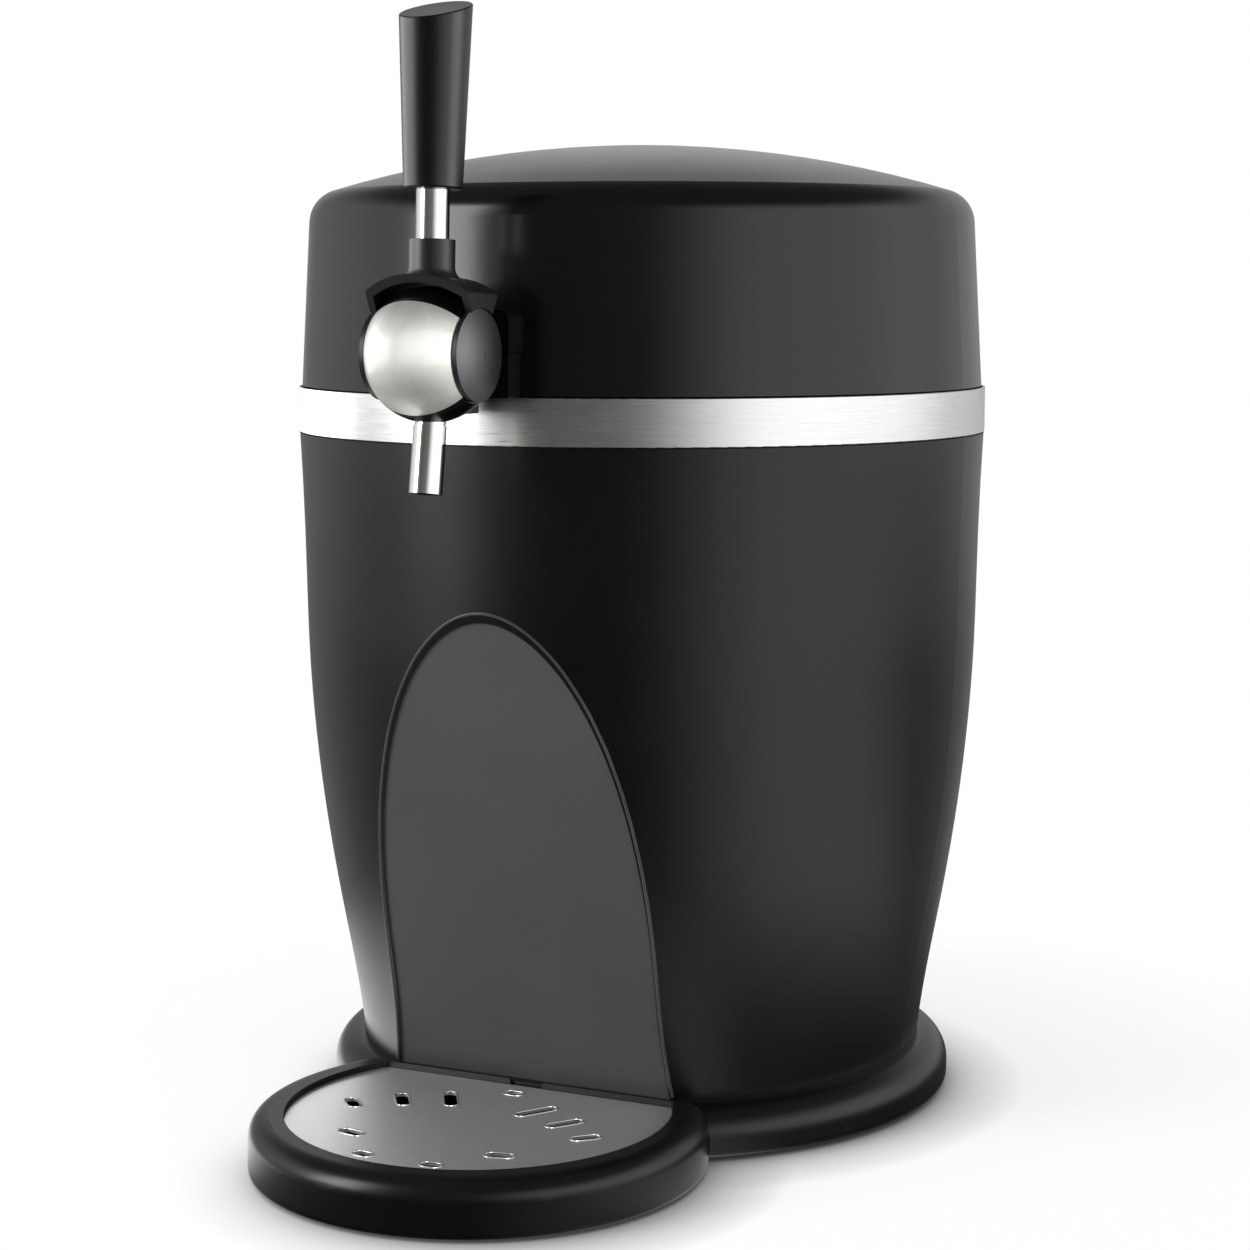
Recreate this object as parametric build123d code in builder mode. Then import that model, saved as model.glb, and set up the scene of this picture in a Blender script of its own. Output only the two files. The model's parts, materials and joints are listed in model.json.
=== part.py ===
from build123d import *
import os
from math import asin, cos, radians, sin, sqrt, tan

# Mini keg beer dispenser: a cooled keg well with a hinged lid, a lever tap and a drip tray.
# Millimetres, +Z up, the tap at the front (-Y). The origin is on the table, under the middle of
# the overall length, so the round body stands a little behind it. Distances called "front" or
# "back" are measured from the body's own axis.

# ---------------------------------------------------------------- fits and clearances
BODY_GAP = 0.3          # between solids that move past each other
RUN_FIT = 0.05          # radial clearance of a pin that turns
EDGE_GAP = 0.1          # between a panel and the frame that holds it
SLOT_GAP = 0.4          # round a tongue or a loose foam part

# ---------------------------------------------------------------- keg well
WELL_R = 88.5           # takes a 172 mm party keg
LINER_T = 1.0
WELL_FLOOR_Z = 63.0
WELL_FILLET = 6.0
LINER_LIP_R = 93.0

# ---------------------------------------------------------------- body shell
WELL_TO_BAND = 51.5     # liner, foam and shell, from the well to the band's face
BAND_PROUD = 0.3        # the band's face stands past the shell's rim
SHELL_FLARE = 23.7      # from the shell's foot out to its rim
SHELL_Z = 21.0          # foot of the shell, on the base
SHELL_TOP_Z = 270.6
SHELL_T = 3.0
# share of the height, and share of the flare from the foot's radius to the rim's radius
SHELL_CURVE = ((0, 0), (0.10, 0.143), (0.24, 0.409), (0.445, 0.726), (0.649, 0.890),
               (0.80, 0.926), (0.92, 0.962), (1, 1))
VENT_W = 4.0
VENT_H = 20.0
VENT_Z = 40.0
VENT_FIRST = 30         # degrees from the rear
VENT_STEP = 6
VENTS_A_SIDE = 6

# ---------------------------------------------------------------- front recess and its panel
PANEL_INSET = 17.2      # from the shell's foot circle in to the flat recess
PANEL_TILT = 11.7       # degrees from upright, the top forward
PANEL_RECESS = 1.0
PANEL_T = 2.5
ARCH_LIP = 0.7          # wall left in front of the panel's edge

# ---------------------------------------------------------------- trim band, deck and gasket
BAND_T = 0.8
BAND_H = 17.8
JOINT_LINE = 0.5        # dark joint lines below and above the band
DECK_T = 3.0
COLLAR_T = 2.5
SPIGOT_H = 9.0
SPIGOT_GAP = 0.8
GASKET_OUT = 2.0        # outside the lid's inner bowl
GASKET_W = 4.0
GASKET_H = 1.1
GASKET_GROOVE = 0.5

# ---------------------------------------------------------------- lid
LID_STEP = 1.5          # the lid's foot stands in from the band
LID_DRAFT = 3.7         # taper of the lid's side
LID_SHOULDER_H = 65.4
LID_CORNER_W = 8.8      # rounded shoulder between the side and the crown
LID_CORNER_H = 12.0
CROWN_RISE = 18.7
LID_T = 2.8
LID_FOAM_W = 26.5       # from the lid's foot in to the inner bowl
LID_FOAM_H = 33.5       # from the crown down to the inner bowl
BOWL_T = 1.5
ROOM_D = 12.0           # the bowl is open this far in, round the tap's shank
ROOM_GAP = 1.0

# ---------------------------------------------------------------- base
BASE_LEDGE = 12.5       # the base ring stands out this far past the shell
BASE_CORNER = 12.0
BASE_FOOT_EDGE = 3.0
BASE_INNER_EDGE = 0.5
BASE_Z = 1.5
BASE_FLOOR_T = 3.5
BASE_WALL = 3.0
BASE_BEFORE = 3.6       # the base's flat front stands before the recess
FOOT_PAD_R = 9.0
FOOT_PAD_DEEP = 2.0
FOOT_PAD_EDGE = 0.8
# rubber feet, as shares of the base's radius
FOOT_SHARES = ((0.607, -0.467), (-0.607, -0.467), (0.576, 0.5914), (-0.576, 0.5914))
BOSS_R = 5.5
BOSS_IN = 9.5           # boss circle, in from the shell's foot
BOSS_ANGLES = (20, 160, 200, 340)
RIB_T = 5.0
SCREW_R = 1.6
SCREW_HOLE_DEEP = 14.0
SCREW_BITE = 12.0
SCREW_HEAD_R = 3.4
SCREW_HEAD_H = 2.0
SCREW_SOCKET_R = 1.5
SCREW_SOCKET_DEEP = 1.2
INTAKE_SLOTS = 16
INTAKE_SLOT_W = 3.4
INTAKE_MARGIN = 2.0

# ---------------------------------------------------------------- drip tray
TRAY_REACH = 39.4       # tray centre, before the base's flat front
TRAY_R = 86.5
TRAY_Z = 1.0
TRAY_FOOT_EDGE = 2.5
TRAY_TOP_Z = 22.3
TRAY_SHOULDER = 8.0
TRAY_FLOOR_T = 2.5
TRAY_RIM_W = 13.4
TRAY_LEDGE_W = 3.6
TRAY_WALL = 3.0
TRAY_REAR_T = 3.4
TRAY_LIP_T = 1.2
TRAY_NOTCH_W = 14.0
TONGUE_X = 40.0
TONGUE_W = 10.0
TONGUE_T = 3.0
TONGUE_L = 10.5
TONGUE_Z = 7.0
TRAY_PAD_R = 6.0
TRAY_PAD_DEEP = 1.0
TRAY_PAD_IN = 31.5
PLATE_T = 1.2
PLATE_DEEP = 2.3        # plate's face below the rim
DRAIN_W = 5.0
# drain slots on one side: x, y from the tray's centre, length, angle from X
DRAINS = ((18.5, 11.1, 18.0, 58), (34.8, 2.6, 15.3, 55), (49.6, -9.2, 11.5, 45),
          (31.0, -40.8, 11.0, 12), (14.0, -60.5, 8.0, 6))
CENTRE_DRAIN_Y = 28.0
CENTRE_DRAIN_L = 8.0

# ---------------------------------------------------------------- tap
TAP_REACH = 33.0        # ball centre, before the band
TAP_RISE = 16.1         # ball centre, above the deck
BALL_R = 24.2
FLAT_IN = 6.8           # flats of the ball, in from its sides
CHROME_PROUD = 0.1
CHROME_T = 0.9
CHROME_UP = 52.0        # degrees above the level front
CHROME_DOWN = 60.0
NECK_R = 11.0
LUG_W = 10.0
LUG_DROP = 21.5         # its underside, below the shank's axis
SHANK_R = 8.0
SHANK_TIP_BACK = 20.0   # behind the ball's centre
SHANK_L = 36.0
SHANK_BORE_R = 4.0
CHAMBER_R = 5.6
SEAT_BACK = 30.0        # valve seat, behind the ball's centre
SADDLE_W = 34.0
SADDLE_H = 15.6         # above the shank's axis
SADDLE_CORNER = 4.0
SADDLE_BACK = 26.0      # its front face, behind the ball's centre
SADDLE_L = 20.7
SADDLE_LID_L = 18.0
NUT_R = 11.5
NUT_T = 5.0
SPOUT_R = 6.0
SPOUT_BORE_R = 4.6
SPOUT_LEAN = 8.75       # degrees
SPOUT_BACK = 3.0        # the spout's line passes this far behind the ball's centre
SPOUT_TOP = 14.0        # along the spout's line, below the ball's centre
SPOUT_NECK = 25.4       # end of the narrower neck that is set in the ball
SPOUT_NECK_R = 5.6
SPOUT_TIP = 49.6
SPOUT_WAY_IN = 2.0      # its way runs on into the chamber
CAVITY_X = 3.2
CAVITY_FRONT = 4.0
CAVITY_BACK = 10.5
CAVITY_TOP = 4.5
CAVITY_DEEP = 12.0

# ---------------------------------------------------------------- lever
LEVER_LEAN = 2.7        # degrees, backwards
YOKE_GAP = 0.6          # round the ball
YOKE_T = 3.0            # over the ball
YOKE_SHOULDER = 6.0     # fall of its arched top, from the lever to the sides
YOKE_CORNER = 1.6
EAR_GAP = 0.55          # beside the ball's flats
EAR_T = 1.25            # under the side caps
EAR_EDGE = 1.4
YOKE_SPREAD = 27.0      # degrees each side of the lever
HUB_EDGE = 0.42         # the hubs stand in from the ball's flats
CAP_EDGE = 0.5
CAP_RISE = 2.0
STEM_COLLAR_TOP = 40.4  # from the ball's centre, along the lever
FLARE_FOOT_R = 10.8     # flare of the rod's collar into the yoke
FLARE_MID_R = 8.9
COLLAR_R = 8.2
FLARE_SUNK = 1.2
FLARE_MID_H = 0.6
FLARE_TOP_H = 2.6
ROD_R = 6.0
ROD_FOOT = 30.0
ROD_TOP = 70.0
GRIP_FOOT = 58.0
GRIP_FOOT_R = 10.5
GRIP_TOP = 120.5
GRIP_TOP_R = 13.0
GRIP_SLOPE = 0.35       # rise of the oblique top, from front to back
GRIP_EDGE = 0.6
PIVOT_R = 3.0
PIVOT_MID_X = 3.0
FINGER_L = 9.0
FINGER_W = 4.0
FINGER_T = 3.0
FINGER_HEAD = 2.5

# ---------------------------------------------------------------- valve
STEM_R = 2.0
HEAD_GAP = 0.8          # between the finger and the plunger's head
HEAD_T = 2.2
HEAD_W = 5.0
HEAD_UP = 2.5
HEAD_DOWN = 10.0
SEAL_R = 5.0
SEAL_T = 3.0
DISC_R = 4.9
DISC_T = 1.5
SPRING_R = 4.2
SPRING_WIRE_R = 0.4
SPRING_TURNS = 6

# ---------------------------------------------------------------- beer line
LINE_IN = 6.0           # its run round the deck, in from the lid's bowl
LINE_OUT_R = 4.2
LINE_IN_R = 3.0
LINE_START = 6.6        # degrees round from the tap
LINE_END = 92.0
BARB_R = 2.9
BARB_ARC = 7.0          # degrees
ELBOW_STUB = 7.0
ELBOW_COLLAR_R = 7.5
ELBOW_COLLAR_T = 4.0
ELBOW_ARM_R = 4.5
ELBOW_ARM = 11.0
ELBOW_BORE_R = 2.2
COUPLER_ANGLE = 97.0
COUPLER_IN = 9.0        # in from the lid's bowl
COUPLER_R = 8.0
COUPLER_IN_R = 5.9
COUPLER_H = 30.0
COUPLER_WALL = 2.0
PEG_H = 10.0
CLIP_ANGLES = (25, 52, 78)
CLIP_W = 6.0
CLIP_WALL = 0.7

# ---------------------------------------------------------------- cooling
FAN_SIZE = 92.0
FAN_CORNER = 4.0
FAN_T = 25.0
FAN_WALL = 2.5
FAN_POST_R = 9.0
FAN_POST_H = 14.0
FAN_STRUT_W = 4.0
FAN_STRUT_T = 3.0
ROTOR_R = 17.0
ROTOR_WALL = 2.5
ROTOR_LOW = 4.0
ROTOR_HIGH = 23.0
AXLE_R = 2.0
BLADES = 7
BLADE_ROOT = 12.0
BLADE_CHORD = 24.0
BLADE_T = 1.6
BLADE_PITCH = 40.0
BLADE_TIP_GAP = 1.0
SINK_IN = 2.0           # smaller than the fan
SINK_BASE_T = 4.0
FIN_T = 1.4
FIN_COUNT = 13
FIN_H = 16.3
MODULE_SIZE = 40.0
MODULE_T = 3.8
COLD_PLATE_SIZE = 50.0
SHELL_BOSS_H = 31.0     # bosses that carry the foam
PROBE_Z = 110.0
PROBE_R = 3.0
PROBE_L = 24.0
BOARD_IN = 30.5         # middle of the board, in from the service panel
BOARD_W = 70.0
BOARD_D = 34.0
BOARD_T = 1.6
BOARD_POST_H = 9.0
BOARD_POST_R = 3.0
BOARD_POST_IN = 5.0
BOARD_SCREW_R = 1.2
BOARD_HEAD_R = 2.2
BOARD_HEAD_H = 1.4
# what stands on the board: x, y from its middle, size x, y, height
BOARD_BLOCKS = ((-8, 3, 20, 18, 8.0), (12, -11, 16, 7, 6.5), (-23, -10, 8, 5, 3.0))
CAPACITOR_SPOTS = ((11, 4), (21, 4))
CAPACITOR_R = 4.0
CAPACITOR_H = 9.0

# ---------------------------------------------------------------- hinge
HINGE_OUT = 6.0         # behind the band
HINGE_H = 4.1           # above the deck
KNUCKLE_R = 4.5
WEB_PAST = 1.0          # the knuckle's web runs past it
HINGE_PIN_R = 2.0
ARM_X = 30.0
ARM_W = 8.0
ARM_H = 8.2
BRACKET_IN = 27.0       # its front edge, before the hinge
BRACKET_D = 11.0
BRACKET_T = 2.6
LEAF_W = 50.0
LEAF_H = 28.0
LEAF_T = 3.0
LEAF_SCREW_X = 16.0
LEAF_SCREW_H = 20.0
BRACKET_SCREW_X = 18.0
SMALL_SCREW_R = 1.4
SMALL_HEAD_R = 2.5
SMALL_HEAD_H = 1.5

# ---------------------------------------------------------------- rear service panel
PANEL_W = 72.0
PANEL_H = 28.0
PANEL_Z = 25.0
SERVICE_IN = 7.5        # its outer face, in from the shell's foot circle
PANEL_PLATE_T = 2.5
PANEL_RIM_T = 2.0
INLET_X = -17.0
SWITCH_X = 17.0
FLANGE_T = 1.5
FLANGE_EDGE = 1.5
INLET_W = 24.0
INLET_H = 16.0
INLET_D = 18.0
INLET_HOLE_W = 18.0
INLET_HOLE_H = 9.5
INLET_HOLE_D = 12.0
INLET_PIN_R = 1.2
INLET_PIN_PITCH = 8.6
INLET_PIN_BELOW = 2.5   # tips below the flange's face
INLET_TAG = 4.0
SWITCH_W = 13.0
SWITCH_H = 19.0
SWITCH_D = 14.0
SWITCH_WALL = 1.0
ROCKER_W = 10.2
ROCKER_HALF_H = 7.6
ROCKER_TILT = 8.0       # degrees either side of level
ROCKER_FACE = 3.0
ROCKER_BACK_D = 4.5
ROCKER_PIVOT_DEEP = 3.0
TRUNNION_R = 1.2
TRUNNION_X = 6.3

# ---------------------------------------------------------------- places worked out from the above
BAND_R = WELL_R + WELL_TO_BAND
SHELL_RIM_R = BAND_R - BAND_PROUD
SHELL_FOOT_R = SHELL_RIM_R - SHELL_FLARE
PANEL_FOOT_FRONT = SHELL_FOOT_R - PANEL_INSET
LID_FOOT_R = BAND_R - LID_STEP
LID_SHOULDER_R = LID_FOOT_R - LID_DRAFT
LID_CROWN_EDGE_R = LID_SHOULDER_R - LID_CORNER_W
LID_CROWN_EDGE_H = LID_SHOULDER_H + LID_CORNER_H
LID_CROWN_H = LID_CROWN_EDGE_H + CROWN_RISE
BOWL_R = LID_FOOT_R - LID_FOAM_W
BOWL_H = LID_CROWN_H - LID_FOAM_H
GASKET_R = BOWL_R + GASKET_OUT
BOSS_CIRCLE_R = SHELL_FOOT_R - BOSS_IN
BASE_FRONT = PANEL_FOOT_FRONT + BASE_BEFORE
TRAY_FRONT = BASE_FRONT + TRAY_REACH
TRAY_POCKET_R = TRAY_R - TRAY_RIM_W
TRAY_PAD_CIRCLE_R = TRAY_R - TRAY_PAD_IN
HINGE_BACK = BAND_R + HINGE_OUT
BRACKET_BACK = HINGE_BACK - BRACKET_IN
PANEL_BACK = SHELL_FOOT_R - SERVICE_IN
BOARD_BACK = PANEL_BACK - BOARD_IN
LINE_R = BOWL_R - LINE_IN
COUPLER_CIRCLE_R = BOWL_R - COUPLER_IN
FAN_BORE_R = FAN_SIZE / 2 - FAN_WALL
SINK_SIZE = FAN_SIZE - SINK_IN
FOAM_Z = SHELL_Z + SHELL_BOSS_H
TAP_FRONT = BAND_R + TAP_REACH
SHANK_TIP_FRONT = TAP_FRONT - SHANK_TIP_BACK
SHANK_END_FRONT = SHANK_TIP_FRONT - SHANK_L
SEAT_FRONT = TAP_FRONT - SEAT_BACK
SADDLE_FRONT = TAP_FRONT - SADDLE_BACK
SADDLE_REAR = SADDLE_FRONT - SADDLE_L
SADDLE_LID_REAR = SADDLE_FRONT - SADDLE_LID_L
CORE_X = BALL_R - FLAT_IN
CHROME_X = CORE_X + CHROME_PROUD
YOKE_IN_R = BALL_R + YOKE_GAP
YOKE_R = YOKE_IN_R + YOKE_T
HUB_IN_X = CORE_X + EAR_GAP
HUB_X = HUB_IN_X + EAR_T
YOKE_X = HUB_X + EAR_EDGE
HUB_R = sqrt(BALL_R ** 2 - CORE_X ** 2) - HUB_EDGE
AXIS_Y = (TRAY_FRONT + TRAY_R - HINGE_BACK - KNUCKLE_R) / 2
COLLAR_Z = SHELL_TOP_Z + JOINT_LINE
DECK_Z = COLLAR_Z + BAND_H
LID_Z = DECK_Z + JOINT_LINE
TAP_Z = DECK_Z + TAP_RISE
BASE_R = SHELL_FOOT_R + BASE_LEDGE
FOOT_SPOTS = [(x * BASE_R, y * BASE_R) for x, y in FOOT_SHARES]
FLARE = ((FLARE_FOOT_R, YOKE_R - FLARE_SUNK), (FLARE_MID_R, YOKE_R + FLARE_MID_H),
         (COLLAR_R, YOKE_R + FLARE_TOP_H))
BASE_FLOOR_Z = BASE_Z + BASE_FLOOR_T
HINGE_Z = DECK_Z + HINGE_H
PLATE_Z = TRAY_TOP_Z - PLATE_DEEP
LEDGE_Z = PLATE_Z - PLATE_T - BODY_GAP
TRAY_REAR = BASE_FRONT + BODY_GAP
SLAB_DEEP = PANEL_RECESS + PANEL_T
SINK_Z = BASE_FLOOR_Z + FAN_T + FIN_H
MODULE_Z = SINK_Z + SINK_BASE_T
COLD_PLATE_Z = MODULE_Z + MODULE_T
LINER_FLOOR_Z = WELL_FLOOR_Z - LINER_T
LINER_OUT_R = WELL_R + LINER_T
BOARD_Z = BASE_FLOOR_Z + BOARD_POST_H
PANEL_MID_Z = PANEL_Z + PANEL_H / 2
BRACKET_END = BRACKET_BACK + BRACKET_D
FLANGE_Z = DECK_Z - GASKET_GROOVE + GASKET_H + BODY_GAP
NOTCH_TOP_Z = TAP_Z + SADDLE_H + BODY_GAP
LEAF_FACE = LID_FOOT_R + LEAF_T
HEAD_FRONT = TAP_FRONT - FINGER_T / 2 - HEAD_GAP
SEAL_FRONT = SEAT_FRONT - BODY_GAP
DISC_FRONT = SEAL_FRONT - SEAL_T
STUB_FRONT = SHANK_END_FRONT + ELBOW_STUB
FAR = 2 * BAND_R        # longer than any cut needs


def front(distance):
    """Y of a place that far in front of the body's axis."""
    return AXIS_Y - distance


def back(distance):
    """Y of a place that far behind the body's axis."""
    return AXIS_Y + distance


def level(z):
    """Level plane on the body's axis."""
    return Plane(origin=(0, AXIS_Y, z))


def tray_level(z):
    """Level plane on the tray's own axis."""
    return Plane(origin=(0, front(TRAY_FRONT), z))


def facing_front(distance):
    """Upright plane that far in front of the body's axis, facing forward; local y is the height."""
    return Plane(origin=(0, front(distance), 0), x_dir=(1, 0, 0), z_dir=(0, -1, 0))


def facing_back(distance):
    """Upright plane that far behind the body's axis, facing the rear; local x is -X."""
    return Plane(origin=(0, back(distance), 0), x_dir=(-1, 0, 0), z_dir=(0, 1, 0))


def across_shank(distance):
    """Upright plane across the shank's axis, that far in front of the body's axis, facing back."""
    return Plane(origin=(0, front(distance), TAP_Z), x_dir=(-1, 0, 0), z_dir=(0, 1, 0))


def spoke(angle):
    """Upright plane through the body's axis, turned from the tap towards +X; local x is the radius."""
    turn = radians(angle)
    return Plane(origin=(0, AXIS_Y, 0), x_dir=(sin(turn), -cos(turn), 0),
                 z_dir=(-cos(turn), -sin(turn), 0))


def around(radius, angles):
    """Points on a circle, angles from +X."""
    return [(radius * cos(radians(angle)), radius * sin(radians(angle))) for angle in angles]


BODY_AXIS = Axis((0, AXIS_Y, 0), (0, 0, 1))
AXIAL = Plane(origin=(0, AXIS_Y, 0), x_dir=(1, 0, 0), z_dir=(0, -1, 0))
TRAY_AXIS = Axis((0, front(TRAY_FRONT), 0), (0, 0, 1))
TRAY_AXIAL = Plane(origin=(0, front(TRAY_FRONT), 0), x_dir=(1, 0, 0), z_dir=(0, -1, 0))
TILT = radians(PANEL_TILT)
RECESS = Plane(origin=(0, front(PANEL_FOOT_FRONT), SHELL_Z), x_dir=(1, 0, 0),
               z_dir=(0, -cos(TILT), -sin(TILT)))
BALL = (0, front(TAP_FRONT), TAP_Z)
PIVOT_AXIS = Axis(BALL, (1, 0, 0))
TAP_AXIAL = Plane(origin=BALL, x_dir=(1, 0, 0), z_dir=(0, -1, 0))
TAP_SIDE = Plane(origin=BALL, x_dir=(0, 1, 0), z_dir=(1, 0, 0))
LEAN = radians(LEVER_LEAN)
LEVER = Plane(origin=BALL, x_dir=(1, 0, 0), z_dir=(0, sin(LEAN), cos(LEAN)))
LEVER_AXIS = Axis(BALL, (0, sin(LEAN), cos(LEAN)))
LEVER_AXIAL = Plane(origin=BALL, x_dir=(1, 0, 0), z_dir=(0, -cos(LEAN), sin(LEAN)))
LEVER_SIDE = Plane(origin=BALL, x_dir=(0, cos(LEAN), -sin(LEAN)), z_dir=(1, 0, 0))
SPOUT_TILT = radians(SPOUT_LEAN)
SPOUT = Plane(origin=(0, front(TAP_FRONT - SPOUT_BACK), TAP_Z), x_dir=(1, 0, 0),
              z_dir=(0, -sin(SPOUT_TILT), -cos(SPOUT_TILT)))
HINGE = Plane(origin=(0, back(HINGE_BACK), HINGE_Z), x_dir=(0, 1, 0), z_dir=(1, 0, 0))

BOSS_SPOTS = around(BOSS_CIRCLE_R, BOSS_ANGLES)
BOARD_SPOTS = [(side * (BOARD_W / 2 - BOARD_POST_IN), BOARD_BACK + end * (BOARD_D / 2 - BOARD_POST_IN))
               for side in (-1, 1) for end in (-1, 1)]
BRACKET_SCREWS = [(side * BRACKET_SCREW_X, BRACKET_BACK + BRACKET_D / 2) for side in (-1, 1)]
LEAF_SCREWS = [(side * LEAF_SCREW_X, LID_Z + LEAF_SCREW_H) for side in (-1, 1)]
PEG_SPOT = around(COUPLER_CIRCLE_R, [COUPLER_ANGLE - 90])
INLET_SPOT = (-INLET_X, PANEL_MID_Z)
SWITCH_SPOT = (-SWITCH_X, PANEL_MID_Z)
INLET_PIN_SPOTS = [(-INLET_X + side * INLET_PIN_PITCH / 2, PANEL_MID_Z) for side in (-1, 1)]


def ring(inner, outer, low, high):
    """Rectangle that revolves into a plain ring."""
    with Locations(((inner + outer) / 2, (low + high) / 2)):
        Rectangle(outer - inner, high - low)


def discs(plane, spots, radius, amount, mode=Mode.ADD):
    """Round bars, or holes, from the plane at each spot."""
    with BuildSketch(plane) as profile:
        with Locations(spots):
            Circle(radius)
    extrude(profile.sketch, amount=amount, mode=mode)


def shell_outline(inset):
    """The shell's outside from foot to rim, moved in by inset, as (radius, height) points."""
    flare = SHELL_RIM_R - SHELL_FOOT_R
    height = SHELL_TOP_Z - SHELL_Z
    return [(SHELL_FOOT_R + out * flare - inset, SHELL_Z + up * height) for up, out in SHELL_CURVE]


def solid_of_shell(inset):
    """Profile of everything inside the shell's outline, moved in by inset."""
    outline = shell_outline(inset)
    with BuildLine() as edge_line:
        Spline(*outline)
        Polyline(outline[-1], (0, SHELL_TOP_Z), (0, SHELL_Z), outline[0])
    make_face(edge_line.edges())


def solid_of_lid(inset):
    """Profile of everything inside the lid's outside, moved in by inset."""
    foot = (LID_FOOT_R - inset, LID_Z)
    shoulder = (LID_SHOULDER_R - inset, LID_Z + LID_SHOULDER_H)
    edge = (LID_CROWN_EDGE_R, LID_Z + LID_CROWN_EDGE_H - inset)
    crown = (0, LID_Z + LID_CROWN_H - inset)
    sag = crown[1] - edge[1]
    crown_r = (edge[0] ** 2 + sag ** 2) / (2 * sag)
    half = asin(edge[0] / crown_r) / 2
    with BuildLine() as edge_line:
        Line(foot, shoulder)
        TangentArc(shoulder, edge, tangent=(shoulder[0] - foot[0], shoulder[1] - foot[1]))
        ThreePointArc(edge, (crown_r * sin(half), crown[1] - crown_r * (1 - cos(half))), crown)
        Polyline(crown, (0, LID_Z), foot)
    make_face(edge_line.edges())


def solid_of_dish(radius, low, high, foot_edge, shoulder):
    """Profile of a round solid with a rounded foot edge and a rounded shoulder."""
    slant = 1 - sqrt(0.5)
    with BuildLine() as edge_line:
        Polyline((0, high), (0, low), (radius - foot_edge, low))
        ThreePointArc((radius - foot_edge, low),
                      (radius - foot_edge * slant, low + foot_edge * slant),
                      (radius, low + foot_edge))
        Line((radius, low + foot_edge), (radius, high - shoulder))
        ThreePointArc((radius, high - shoulder),
                      (radius - shoulder * slant, high - shoulder * slant),
                      (radius - shoulder, high))
        Line((radius - shoulder, high), (0, high))
    make_face(edge_line.edges())


def cut_in_front_of(distance):
    """Cut away everything in front of an upright face that far in front of the body's axis."""
    with BuildSketch(facing_front(distance)) as profile:
        Rectangle(2 * FAR, 2 * FAR)
    extrude(profile.sketch, amount=FAR, mode=Mode.SUBTRACT)


def in_front_of_recess(depth, mode):
    """Everything in front of a plane that deep behind the recess's opening."""
    with BuildSketch(RECESS.offset(-depth)) as profile:
        Rectangle(2 * FAR, 2 * FAR)
    extrude(profile.sketch, amount=FAR, mode=mode)


def cut_panel_window(distance, gap):
    """Cut a window that fits the service panel, from that far behind the body's axis outwards."""
    with BuildSketch(facing_back(distance)) as profile:
        with Locations((0, PANEL_MID_Z)):
            Rectangle(PANEL_W + 2 * gap, PANEL_H + 2 * gap)
    extrude(profile.sketch, amount=FAR, mode=Mode.SUBTRACT)


# ================================================================ base
os.makedirs("parts", exist_ok=True)

with BuildPart() as base_hollow:
    with BuildSketch(AXIAL):
        solid_of_dish(BASE_R - BASE_WALL, BASE_FLOOR_Z, SHELL_Z - BASE_WALL, BASE_INNER_EDGE,
                      BASE_CORNER - BASE_WALL)
    revolve(axis=BODY_AXIS)
    cut_in_front_of(BASE_FRONT - BASE_WALL)
    # it opens into the shell, short of the front panel
    with BuildSketch(level(BASE_FLOOR_Z)):
        Circle(SHELL_FOOT_R - SHELL_T)
        with Locations((0, -FAR / 2 - PANEL_FOOT_FRONT + SLAB_DEEP + SLOT_GAP)):
            Rectangle(FAR, FAR, mode=Mode.SUBTRACT)
    extrude(amount=SHELL_Z - BASE_FLOOR_Z)

with BuildPart() as base_pan:
    with BuildSketch(AXIAL):
        solid_of_dish(BASE_R, BASE_Z, SHELL_Z, BASE_FOOT_EDGE, BASE_CORNER)
    revolve(axis=BODY_AXIS)
    cut_in_front_of(BASE_FRONT)
    add(base_hollow.part, mode=Mode.SUBTRACT)
    # screw bosses up to the shell, and posts for the control board
    discs(level(BASE_FLOOR_Z), BOSS_SPOTS, BOSS_R, SHELL_Z - BASE_FLOOR_Z)
    discs(level(BASE_FLOOR_Z), BOARD_SPOTS, BOARD_POST_R, BOARD_POST_H)
    discs(level(BOARD_Z), BOARD_SPOTS, BOARD_SCREW_R, -BOARD_POST_H, Mode.SUBTRACT)
    discs(level(BASE_Z), BOSS_SPOTS, SCREW_HEAD_R + SLOT_GAP, SCREW_HEAD_H + SLOT_GAP, Mode.SUBTRACT)
    discs(level(BASE_Z), BOSS_SPOTS, SCREW_R + EDGE_GAP, SHELL_Z, Mode.SUBTRACT)
    # seats of the rubber feet
    discs(level(BASE_Z), FOOT_SPOTS, FOOT_PAD_R, FOOT_PAD_DEEP, Mode.SUBTRACT)
    # air slots under the fan
    with BuildSketch(level(BASE_Z)):
        with PolarLocations((FAN_BORE_R + ROTOR_R) / 2, INTAKE_SLOTS):
            SlotOverall(FAN_BORE_R - ROTOR_R - 2 * INTAKE_MARGIN, INTAKE_SLOT_W)
    extrude(amount=BASE_FLOOR_T, mode=Mode.SUBTRACT)
    # slots for the drip tray's tongues
    with BuildSketch(facing_front(BASE_FRONT)):
        with Locations((TONGUE_X, TONGUE_Z + TONGUE_T / 2), (-TONGUE_X, TONGUE_Z + TONGUE_T / 2)):
            Rectangle(TONGUE_W + 2 * SLOT_GAP, TONGUE_T + 2 * SLOT_GAP)
    extrude(amount=-BASE_WALL - 1, mode=Mode.SUBTRACT)
base_pan.part.label = "base_pan"
export_step(base_pan.part, "parts/base_pan.step")

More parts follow.
